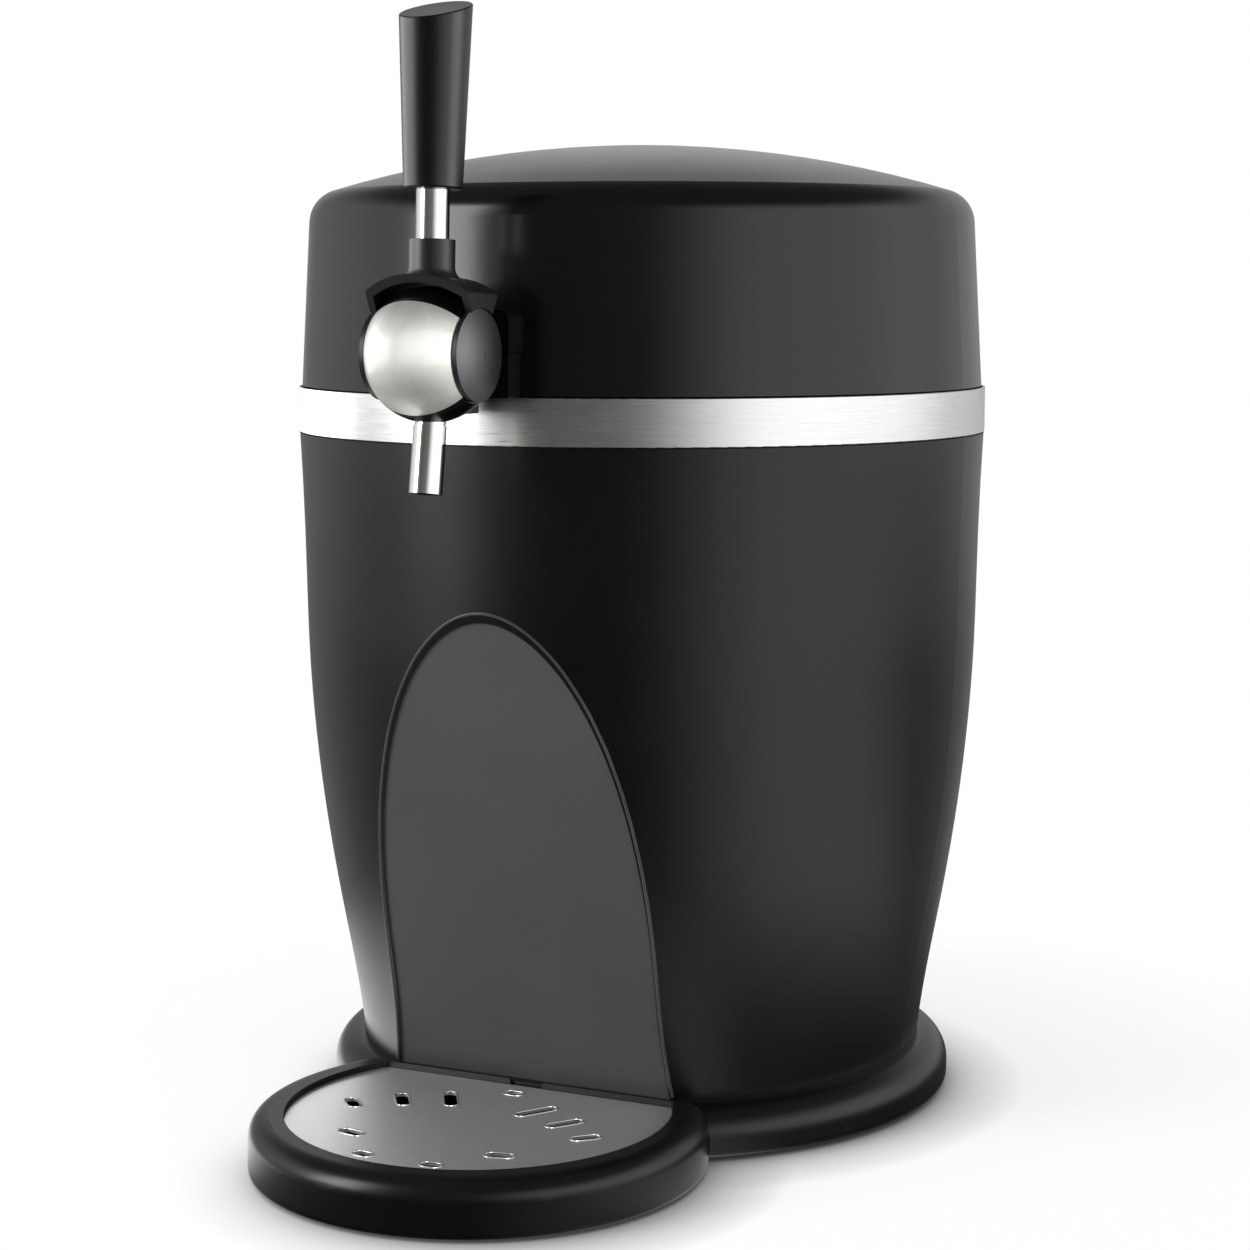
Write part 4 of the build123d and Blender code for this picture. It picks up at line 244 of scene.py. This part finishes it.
def slot_rim_group():
    """Geometry nodes: a round wire in a slot's outline at each point, turned by the facing attribute."""
    tree = bpy.data.node_groups.new("slot_rims", "GeometryNodeTree")
    for name, kind in (("Places", "Geometry"), ("Length", "Float"), ("Width", "Float"), ("Wire", "Float"),
                       ("Finish", "Material")):
        tree.interface.new_socket(name, in_out="INPUT", socket_type="NodeSocket" + kind)
    tree.interface.new_socket("Rims", in_out="OUTPUT", socket_type="NodeSocketGeometry")
    given = add_node(tree, "NodeGroupInput").outputs
    box = add_node(tree, "GeometryNodeCurvePrimitiveQuadrilateral", Width=given["Length"],
                   Height=given["Width"])
    corner = add_node(tree, "ShaderNodeMath", {"operation": "MULTIPLY"}, {0: given["Width"], 1: CORNER})
    bent = add_node(tree, "GeometryNodeFilletCurve", {"mode": "POLY"}, Curve=box.outputs[0],
                    Radius=corner.outputs[0], Count=CORNER_STEPS)
    wire = add_node(tree, "GeometryNodeCurvePrimitiveCircle", Radius=given["Wire"], Resolution=WIRE_SIDES)
    rim = add_node(tree, "GeometryNodeCurveToMesh", Curve=bent.outputs[0], Profile_Curve=wire.outputs[0])
    facing = add_node(tree, "GeometryNodeInputNamedAttribute", {"data_type": "FLOAT_VECTOR"}, Name="facing")
    spots = add_node(tree, "GeometryNodeInstanceOnPoints", Points=given["Places"], Instance=rim.outputs[0],
                     Rotation=facing.outputs["Attribute"])
    solid = add_node(tree, "GeometryNodeRealizeInstances", Geometry=spots.outputs[0])
    smooth = add_node(tree, "GeometryNodeSetShadeSmooth", Geometry=solid.outputs[0])
    dressed = add_node(tree, "GeometryNodeSetMaterial", Geometry=smooth.outputs[0], Material=given["Finish"])
    add_node(tree, "NodeGroupOutput", Rims=dressed.outputs[0])
    return tree


def slot_rims(tree, name, places, length, width, wire, material):
    """Rims at the places, given as matrices; length, width and wire radius in mm."""
    points = bpy.data.meshes.new(name)
    points.from_pydata([place.translation for place in places], [], [])
    facing = points.attributes.new("facing", "FLOAT_VECTOR", "POINT")
    for item, place in zip(facing.data, places):
        item.vector = place.to_euler()
    holder = bpy.data.objects.new(name, points)
    modifier = holder.modifiers.new("rims", "NODES")
    modifier.node_group = tree
    values = {"Length": length * MM, "Width": width * MM, "Wire": wire * MM, "Finish": material}
    for socket in tree.interface.items_tree:
        if socket.in_out == "INPUT" and socket.name in values:
            modifier[socket.identifier] = values[socket.name]
    return settled_mesh(holder)


def round_wire(name, route, radius, rounding, caps=False):
    """Mesh of a round wire through the points of a route; its radius is in mm."""
    curve = bpy.data.curves.new(name, "CURVE")
    curve.dimensions = "3D"
    curve.bevel_depth = radius * MM
    curve.bevel_resolution = rounding
    curve.use_fill_caps = caps
    line = curve.splines.new("POLY")
    line.points.add(len(route) - 1)
    for point, place in zip(line.points, route):
        point.co = (*place, 1)
    return settled_mesh(bpy.data.objects.new(name, curve))


def joined(meshes):
    """One mesh from several."""
    form = bmesh.new()
    for mesh in meshes:
        form.from_mesh(mesh)
    mesh = bpy.data.meshes.new("joined")
    form.to_mesh(mesh)
    form.free()
    return mesh


rim_tree = slot_rim_group()

# Rolled rims of the drip plate's slots: each pair's place across and forward of the tray's centre, its
# length, and its turn in degrees; then the single slot behind the centre
DRAIN_W = 5.0
DRAINS = ((18.5, -11.1, 18.0, 58), (34.8, -2.6, 15.3, 55), (49.6, 9.2, 11.5, 45), (31, 40.8, 11, 12),
          (14, 60.5, 8, 6))
BACK_DRAIN, BACK_DRAIN_L = 28, 8
RIM_WIRE = 0.38
RIM_SUNK = 0.08
TRAY_R = (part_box("drip_tray")[1].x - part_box("drip_tray")[0].x) / 2
TRAY_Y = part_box("drip_tray")[0].y + TRAY_R
PLATE_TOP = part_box("drip_plate")[1].z


def drain_rims(length, *places):
    """Rims of the drip plate's slots of one length; a place is across, forward and turn."""
    spots = [Matrix.Translation((across * MM, TRAY_Y - forward * MM, PLATE_TOP - RIM_SUNK * MM))
             @ Matrix.Rotation(radians(turn), 4, "Z") for across, forward, turn in places]
    return slot_rims(rim_tree, "drain_rims", spots, length + RIM_WIRE, DRAIN_W + RIM_WIRE, RIM_WIRE,
                     rim_steel)


rims = [drain_rims(length, (across, forward, turn), (-across, forward, -turn))
        for across, forward, length, turn in DRAINS]
rims.append(drain_rims(BACK_DRAIN_L, (0, -BACK_DRAIN, 0)))
own_piece("drain_rims", joined(rims), rim_steel, "grid")

# Body shell: points on its outside, and the plane of its flat front
RECESS_FOOT = 98.8 * MM
RECESS_LEAN = radians(11.7)
OUTSIDE = 0.3           # metres from the centre line, well clear of the body
shell = frame["nodes"]["outer_shell"]
SHELL_FOOT_Z, SHELL_TOP_Z = (corner.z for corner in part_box("outer_shell"))


def shell_hit(turn, z):
    """Point on the shell's outside; the turn is in radians from the right towards the rear."""
    way = Vector((cos(turn), sin(turn), 0))
    to_shell = shell.matrix_world.inverted()
    start = to_shell @ (Vector((0, BODY_Y, z)) + OUTSIDE * way)
    return shell.matrix_world @ shell.ray_cast(start, -(to_shell.to_3x3() @ way))[1]


def shell_radius(z):
    """Radius of the round shell at a height."""
    return shell_hit(0, z).x


def flat_front(z):
    """How far the flat front stands before the body's centre line."""
    return RECESS_FOOT + (z - SHELL_FOOT_Z) * tan(RECESS_LEAN)


# Rounded edge of the arch: it catches a thin line of light all the way round, on top of the painted highlight
# of its paler finish
BEAD_R = 0.7
BEAD_IN = 0.45
BEAD_FOOT = 1.5
BEAD_STEPS = 40
SHELL_RIM = 1           # mm at the shell's foot and top that the search for the arch's top leaves out
SEARCH_STEPS = 30
low, high = SHELL_FOOT_Z + SHELL_RIM * MM, SHELL_TOP_Z - SHELL_RIM * MM
for _ in range(SEARCH_STEPS):
    middle = (low + high) / 2
    low, high = (middle, high) if flat_front(middle) < shell_radius(middle) else (low, middle)
arch_top = low
bead_foot_z = SHELL_FOOT_Z + BEAD_FOOT * MM
right_side = []
for step in range(BEAD_STEPS):
    z = bead_foot_z + (arch_top - bead_foot_z) * sin(step / BEAD_STEPS * pi / 2)
    across = sqrt(shell_radius(z) ** 2 - flat_front(z) ** 2)
    inward = Vector((-across, flat_front(z), 0)).normalized() * BEAD_IN * MM
    right_side.append(Vector((across, BODY_Y - flat_front(z), z)) + inward)
apex = Vector((0, BODY_Y - flat_front(arch_top) + BEAD_IN * MM, arch_top))
route = right_side + [apex] + [Vector((-p.x, p.y, p.z)) for p in reversed(right_side)]
bead = round_wire("arch_bead", route, BEAD_R, 4)
bead.polygons.foreach_set("use_smooth", [True] * len(bead.polygons))
own_piece("arch_bead", bead, arch_highlight_abs, "housing")

# Raised rims round the air slots of the shell's rear, in rows each side of its middle
VENT_W, VENT_H, VENT_Z = 4.0, 20.0, 40.0
VENT_FIRST, VENT_STEP, VENTS_A_SIDE = 30, 6, 6
VENT_WIRE = 0.5
VENT_FEEL = 0.7         # share of a slot's height, up and down, where the wall's lean is taken
vent_places = []
for side in (1, -1):
    for step in range(VENTS_A_SIDE):
        turn = radians(90 + side * (VENT_FIRST + VENT_STEP * step))
        foot, head = (shell_hit(turn, (VENT_Z + rise * VENT_H) * MM) for rise in (-VENT_FEEL, VENT_FEEL))
        up = (head - foot).normalized()
        across = up.cross(Vector((cos(turn), sin(turn), 0))).normalized()
        axes = Matrix((up, -across, -across.cross(up))).transposed().to_4x4()
        vent_places.append(Matrix.Translation((foot + head) / 2) @ axes)
vent_rims = slot_rims(rim_tree, "vent_rims", vent_places, VENT_H + VENT_WIRE, VENT_W + VENT_WIRE, VENT_WIRE,
                      satin_abs)
own_piece("vent_rims", vent_rims, satin_abs, "housing")

# Valve spring, drawn as a coil of round wire at rest; on the real tap it shortens against the elbow as the
# plunger comes in
SPRING_WIRE_R = 0.4
SPRING_TURNS = 6
STEPS_A_TURN = 24
spring_low, spring_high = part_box("valve_spring")
spring_middle = (spring_low + spring_high) / 2
coil_r = (spring_high.x - spring_low.x) / 2 - SPRING_WIRE_R * MM
coil_l = spring_high.y - spring_low.y - 2 * SPRING_WIRE_R * MM
coil_steps = SPRING_TURNS * STEPS_A_TURN
coil = []
for step in range(coil_steps + 1):
    angle = 2 * pi * step / STEPS_A_TURN
    coil.append((spring_middle.x + coil_r * cos(angle),
                 spring_low.y + SPRING_WIRE_R * MM + coil_l * step / coil_steps,
                 spring_middle.z + coil_r * sin(angle)))
spring = own_piece("coil_spring", round_wire("coil", coil, SPRING_WIRE_R, 3, caps=True), turned_steel,
                   "housing")
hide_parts("valve_spring")
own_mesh(spring)

# ---------------------------------------------------------------- studio
CAMERA_TURN = 25.9      # degrees from the front towards the right, from which all turns here are counted

# Each pair is a turn from the camera's side, in degrees towards the right, and a brightness there:
# upright paper above the table's level, and the table itself
PAPER = ((-179, 0.7), (-165, 0.4), (-150, 0.33), (-128, 0.62), (-113, 0.85), (-75, 1.1), (-52, 0.25),
         (-40, 0.1), (-15, 0.14), (-2, 0.17), (10, 0.4), (24, 0.95), (38, 1.4), (95, 1.4), (116, 0.8),
         (165, 0.45), (179, 0.7))
TABLE = ((-179, 0.3), (-150, 0.28), (-120, 0.36), (-93, 0.2), (-75, 0.24), (-60, 0.3), (-42, 0.05),
         (-3, 0.03), (6, 0.15), (20, 0.6), (38, 1.1), (58, 1.1), (75, 0.85), (98, 0.2), (120, 0.2),
         (140, 0.35), (179, 0.4))
# Painted shade and painted light of the table close to the object, as mirrors show it: darker where the
# object shades it, brighter at the left than the table further out
NEAR = ((-179, 0.6), (-150, 1.6), (-120, 1.6), (-90, 1.8), (-70, 2.8), (-58, 2.4), (-45, 0.4), (-33, 0.05),
        (-15, 0.05), (-6, 0.35), (6, 0.7), (16, 0.5), (28, 0.12), (45, 0.06), (75, 0.05), (100, 0.08),
        (140, 0.08), (179, 0.2))


def paper_round(tree, parts, stops):
    """Brightness of the paper round the object, by the turn of a direction whose parts are given."""
    turn = add_node(tree, "ShaderNodeMath", {"operation": "ARCTAN2"}, {0: parts["X"], 1: parts["Y"]})
    share = add_node(tree, "ShaderNodeMapRange", Value=turn.outputs[0], From_Min=-pi, From_Max=pi)
    ramp = add_node(tree, "ShaderNodeValToRGB", Fac=share.outputs["Result"])
    ends = ramp.color_ramp.elements
    for degrees, light in stops:
        from_behind = 180 - degrees if degrees > 0 else -180 - degrees
        stop = ends.new((from_behind + 180) / 360)
        stop.color = (light, light, light, 1)
    # the ramp starts and ends at the camera's side, where the middle stop is
    for edge in (ends[0], ends[-1]):
        edge.color = (stops[len(stops) // 2][1],) * 3 + (1,)
    return ramp.outputs["Color"]


def turned_parts(tree, source):
    """X, Y and Z of a vector, turned so that the camera's side is at -Y."""
    turned = add_node(tree, "ShaderNodeMapping", {"vector_type": "POINT"}, Vector=source,
                      Rotation=(0, 0, -radians(CAMERA_TURN)))
    return add_node(tree, "ShaderNodeSeparateXYZ", Vector=turned.outputs["Vector"]).outputs


# White paper under and behind the object. Distances are in metres from the body's centre line.
FLOOR_HALF = 30
WHITE_FROM, WHITE_TO = 0.12, 0.32       # the lit paper fades into plain white
SHADED_FROM, SHADED_TO = 0.17, 0.32     # the object's own shade on the table fades out
RISE_FROM, RISE_TO = 1.5, 3.5           # the table gives way to the upright paper
PAPER_TONE, PAPER_GLOW = "e6e6e6", 0.68
# Narrow shadow where the object stands: its reach, its depth, and the way that it looks for the object
CONTACT_REACH, CONTACT_POWER, CONTACT_WAY = 0.033, 1.25, (-0.5, 0.17, 1.0)


def paper_material():
    """White paper: it keeps the shadow near the object, and mirrors show it shaded by direction."""
    paper = bpy.data.materials.new("white_paper")
    paper.use_nodes = True
    tree = paper.node_tree
    tree.nodes.clear()
    path = add_node(tree, "ShaderNodeLightPath").outputs
    place = add_node(tree, "ShaderNodeTexCoord")
    centred = add_node(tree, "ShaderNodeMapping", Vector=place.outputs["Object"], Location=(0, -BODY_Y, 0))
    far = add_node(tree, "ShaderNodeVectorMath", {"operation": "LENGTH"}, {0: centred.outputs["Vector"]})
    fade, shaded, rise = (
        add_node(tree, "ShaderNodeMapRange", Value=far.outputs["Value"], From_Min=start, From_Max=end)
        for start, end in ((WHITE_FROM, WHITE_TO), (SHADED_FROM, SHADED_TO), (RISE_FROM, RISE_TO)))
    parts = turned_parts(tree, centred.outputs["Vector"])
    table = add_node(tree, "ShaderNodeMixRGB", Fac=shaded.outputs[0], Color1=paper_round(tree, parts, NEAR),
                     Color2=paper_round(tree, parts, TABLE))
    rising = add_node(tree, "ShaderNodeMixRGB", Fac=rise.outputs[0], Color1=table.outputs[0],
                      Color2=paper_round(tree, parts, PAPER))
    mirrored = add_node(tree, "ShaderNodeEmission", Color=rising.outputs[0])
    matte = add_node(tree, "ShaderNodeBsdfDiffuse", Color=hex_rgb(PAPER_TONE))
    glow = add_node(tree, "ShaderNodeEmission", Color=(1, 1, 1, 1), Strength=PAPER_GLOW)
    near = add_node(tree, "ShaderNodeAddShader", feeds={0: matte.outputs[0], 1: glow.outputs[0]})
    white = add_node(tree, "ShaderNodeEmission", Color=(1, 1, 1, 1), Strength=1.0)
    bare = add_node(tree, "ShaderNodeMixShader",
                    feeds={0: fade.outputs[0], 1: near.outputs[0], 2: white.outputs[0]})
    way = add_node(tree, "ShaderNodeCombineXYZ", feeds=zip("XYZ", CONTACT_WAY))
    contact = add_node(tree, "ShaderNodeAmbientOcclusion", {"samples": 16}, Normal=way.outputs[0],
                       Distance=CONTACT_REACH)
    deeper = add_node(tree, "ShaderNodeMath", {"operation": "POWER"},
                      {0: contact.outputs["AO"], 1: CONTACT_POWER})
    dark = add_node(tree, "ShaderNodeEmission", Color=(0, 0, 0, 1))
    seen = add_node(tree, "ShaderNodeMixShader",
                    feeds={0: deeper.outputs[0], 1: dark.outputs[0], 2: bare.outputs[0]})
    lit = add_node(tree, "ShaderNodeMixShader",
                   feeds={0: path["Is Camera Ray"], 1: matte.outputs[0], 2: seen.outputs[0]})
    pick = add_node(tree, "ShaderNodeMixShader",
                    feeds={0: path["Is Glossy Ray"], 1: lit.outputs[0], 2: mirrored.outputs[0]})
    add_node(tree, "ShaderNodeOutputMaterial", Surface=pick.outputs[0])
    return paper


floor_mesh = bpy.data.meshes.new("studio_floor")
floor_mesh.from_pydata([(x * FLOOR_HALF, y * FLOOR_HALF, 0) for x, y in ((-1, -1), (1, -1), (1, 1), (-1, 1))],
                       [], [(0, 1, 2, 3)])
floor_mesh.materials.append(paper_material())
floor = bpy.data.objects.new("studio_floor", floor_mesh)
scene.collection.objects.link(floor)

# Camera: its place in metres, its turn and downward tilt in degrees, and its lens in mm
CAMERA_PLACE = (0.4816, -0.9691, 0.3289)
CAMERA_ROUND, CAMERA_DOWN = 25.889, 7.121
LENS_L, SENSOR_W = 78.0, 36
camera_data = bpy.data.cameras.new("camera")
camera_data.sensor_width = SENSOR_W
camera_data.lens = LENS_L
camera = bpy.data.objects.new("camera", camera_data)
camera.location = CAMERA_PLACE
camera.rotation_euler = (radians(90 - CAMERA_DOWN), 0, radians(CAMERA_ROUND))
scene.collection.objects.link(camera)
scene.camera = camera


def around_body(turn, distance, height):
    """Place round the body; the turn is from the camera's side towards the right."""
    angle = radians(CAMERA_TURN + turn)
    return (distance * sin(angle), BODY_Y - distance * cos(angle), height)


def softbox(name, width, height, place, aim, power):
    """Rectangular studio light."""
    lamp = bpy.data.lights.new(name, "AREA")
    lamp.shape = "RECTANGLE"
    lamp.size = width
    lamp.size_y = height
    lamp.energy = power
    light = bpy.data.objects.new(name, lamp)
    light.location = place
    light.rotation_euler = (Vector(aim) - Vector(place)).to_track_quat("-Z", "Y").to_euler()
    scene.collection.objects.link(light)
    return light


def light_only(lamp, *nodes):
    """Let a lamp light these pieces and nothing else."""
    reach = bpy.data.collections.new(lamp.name + "_reach")
    for name in nodes:
        reach.objects.link(frame["nodes"].get(name) or bpy.data.objects[name])
    lamp.light_linking.receiver_collection = reach


def light_all_but(lamp, *nodes):
    """Keep a lamp off these pieces."""
    light_only(lamp, *nodes)
    for entry in lamp.light_linking.receiver_collection.collection_objects:
        entry.light_linking.link_state = "EXCLUDE"


# Tall narrow softbox at the left: the clear streak beside the tap on the lid
KEY_TURN, KEY_DISTANCE, KEY_HEIGHT = -66, 1.6, 0.75
key = softbox("key_softbox", 0.62, 1.1, around_body(KEY_TURN, KEY_DISTANCE, KEY_HEIGHT),
              (0, BODY_Y, KEY_HEIGHT), 13)
light_all_but(key, "chrome_shell", "lever_handle")

# Cards that each light one piece: name, width, height, turn, distance, height above the table,
# aim, power and pieces
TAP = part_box("chrome_shell")[0]
BAND = Vector((0, BODY_Y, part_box("trim_band")[0].z))
TRAY = Vector((0, TRAY_Y, PLATE_TOP))
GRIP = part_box("lever_handle")[0]
PANEL = (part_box("recess_panel")[0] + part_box("recess_panel")[1]) / 2
CARDS = (
    ("tap_card", 2.6, 2.0, -4, 1.2, 0.3, TAP, 25, ("chrome_shell",)),
    ("cap_card", 0.4, 0.4, 92, 1.2, 0.33, TAP, 7, ("hub_caps",)),
    ("band_card", 0.7, 0.4, -128, 1.2, 0.35, BAND, 4, ("trim_band",)),
    ("plate_card", 0.6, 0.5, -158, 1.2, 0.6, TRAY, 2, ("drip_plate",)),
    ("left_grip_card", 1.6, 1.0, -95, 1.2, 0.45, GRIP, 13, ("lever_handle", "lever_yoke")),
    ("right_grip_card", 0.8, 1.0, 70, 1.2, 0.45, GRIP, 5, ("lever_handle", "lever_yoke")),
    ("left_tap_card", 1.5, 1.0, -95, 1.2, 0.3, TAP, 7, ("chrome_shell",)),
    ("panel_card", 0.2, 0.2, -CAMERA_TURN, 0.46, 0.28, PANEL, 0.45, ("recess_panel",)),
    ("rim_card", 0.5, 0.5, 0, 0.9, 1.1, TRAY, 12, ("drain_rims",)),
)
for name, width, tall, turn, distance, height, aim, power, nodes in CARDS:
    light_only(softbox(name, width, tall, around_body(turn, distance, height), aim, power), *nodes)

# Studio surroundings: the same paper upright all round, up to a dim ceiling
WALL_TOP, CEILING_FROM = 0.4, 0.62      # upward part of a direction: the paper ends, the ceiling starts
CEILING = (0.13, 0.13, 0.13, 1)
world = bpy.data.worlds.new("studio")
scene.world = world
world.use_nodes = True
tree = world.node_tree
tree.nodes.clear()
path = add_node(tree, "ShaderNodeLightPath").outputs
parts = turned_parts(tree, add_node(tree, "ShaderNodeTexCoord").outputs["Generated"])
up = add_node(tree, "ShaderNodeMapRange", Value=parts["Z"], From_Min=WALL_TOP, From_Max=CEILING_FROM)
dome = add_node(tree, "ShaderNodeMixRGB", Fac=up.outputs[0], Color1=paper_round(tree, parts, PAPER),
                Color2=CEILING)
around = add_node(tree, "ShaderNodeBackground", Color=dome.outputs[0])
white = add_node(tree, "ShaderNodeBackground", Color=(1, 1, 1, 1), Strength=1.0)
seen = add_node(tree, "ShaderNodeMath", {"operation": "MAXIMUM"},
                {0: path["Is Camera Ray"], 1: path["Is Transmission Ray"]})
pick = add_node(tree, "ShaderNodeMixShader",
                feeds={0: seen.outputs[0], 1: around.outputs[0], 2: white.outputs[0]})
add_node(tree, "ShaderNodeOutputWorld", Surface=pick.outputs[0])

scene.view_settings.view_transform = "Standard"
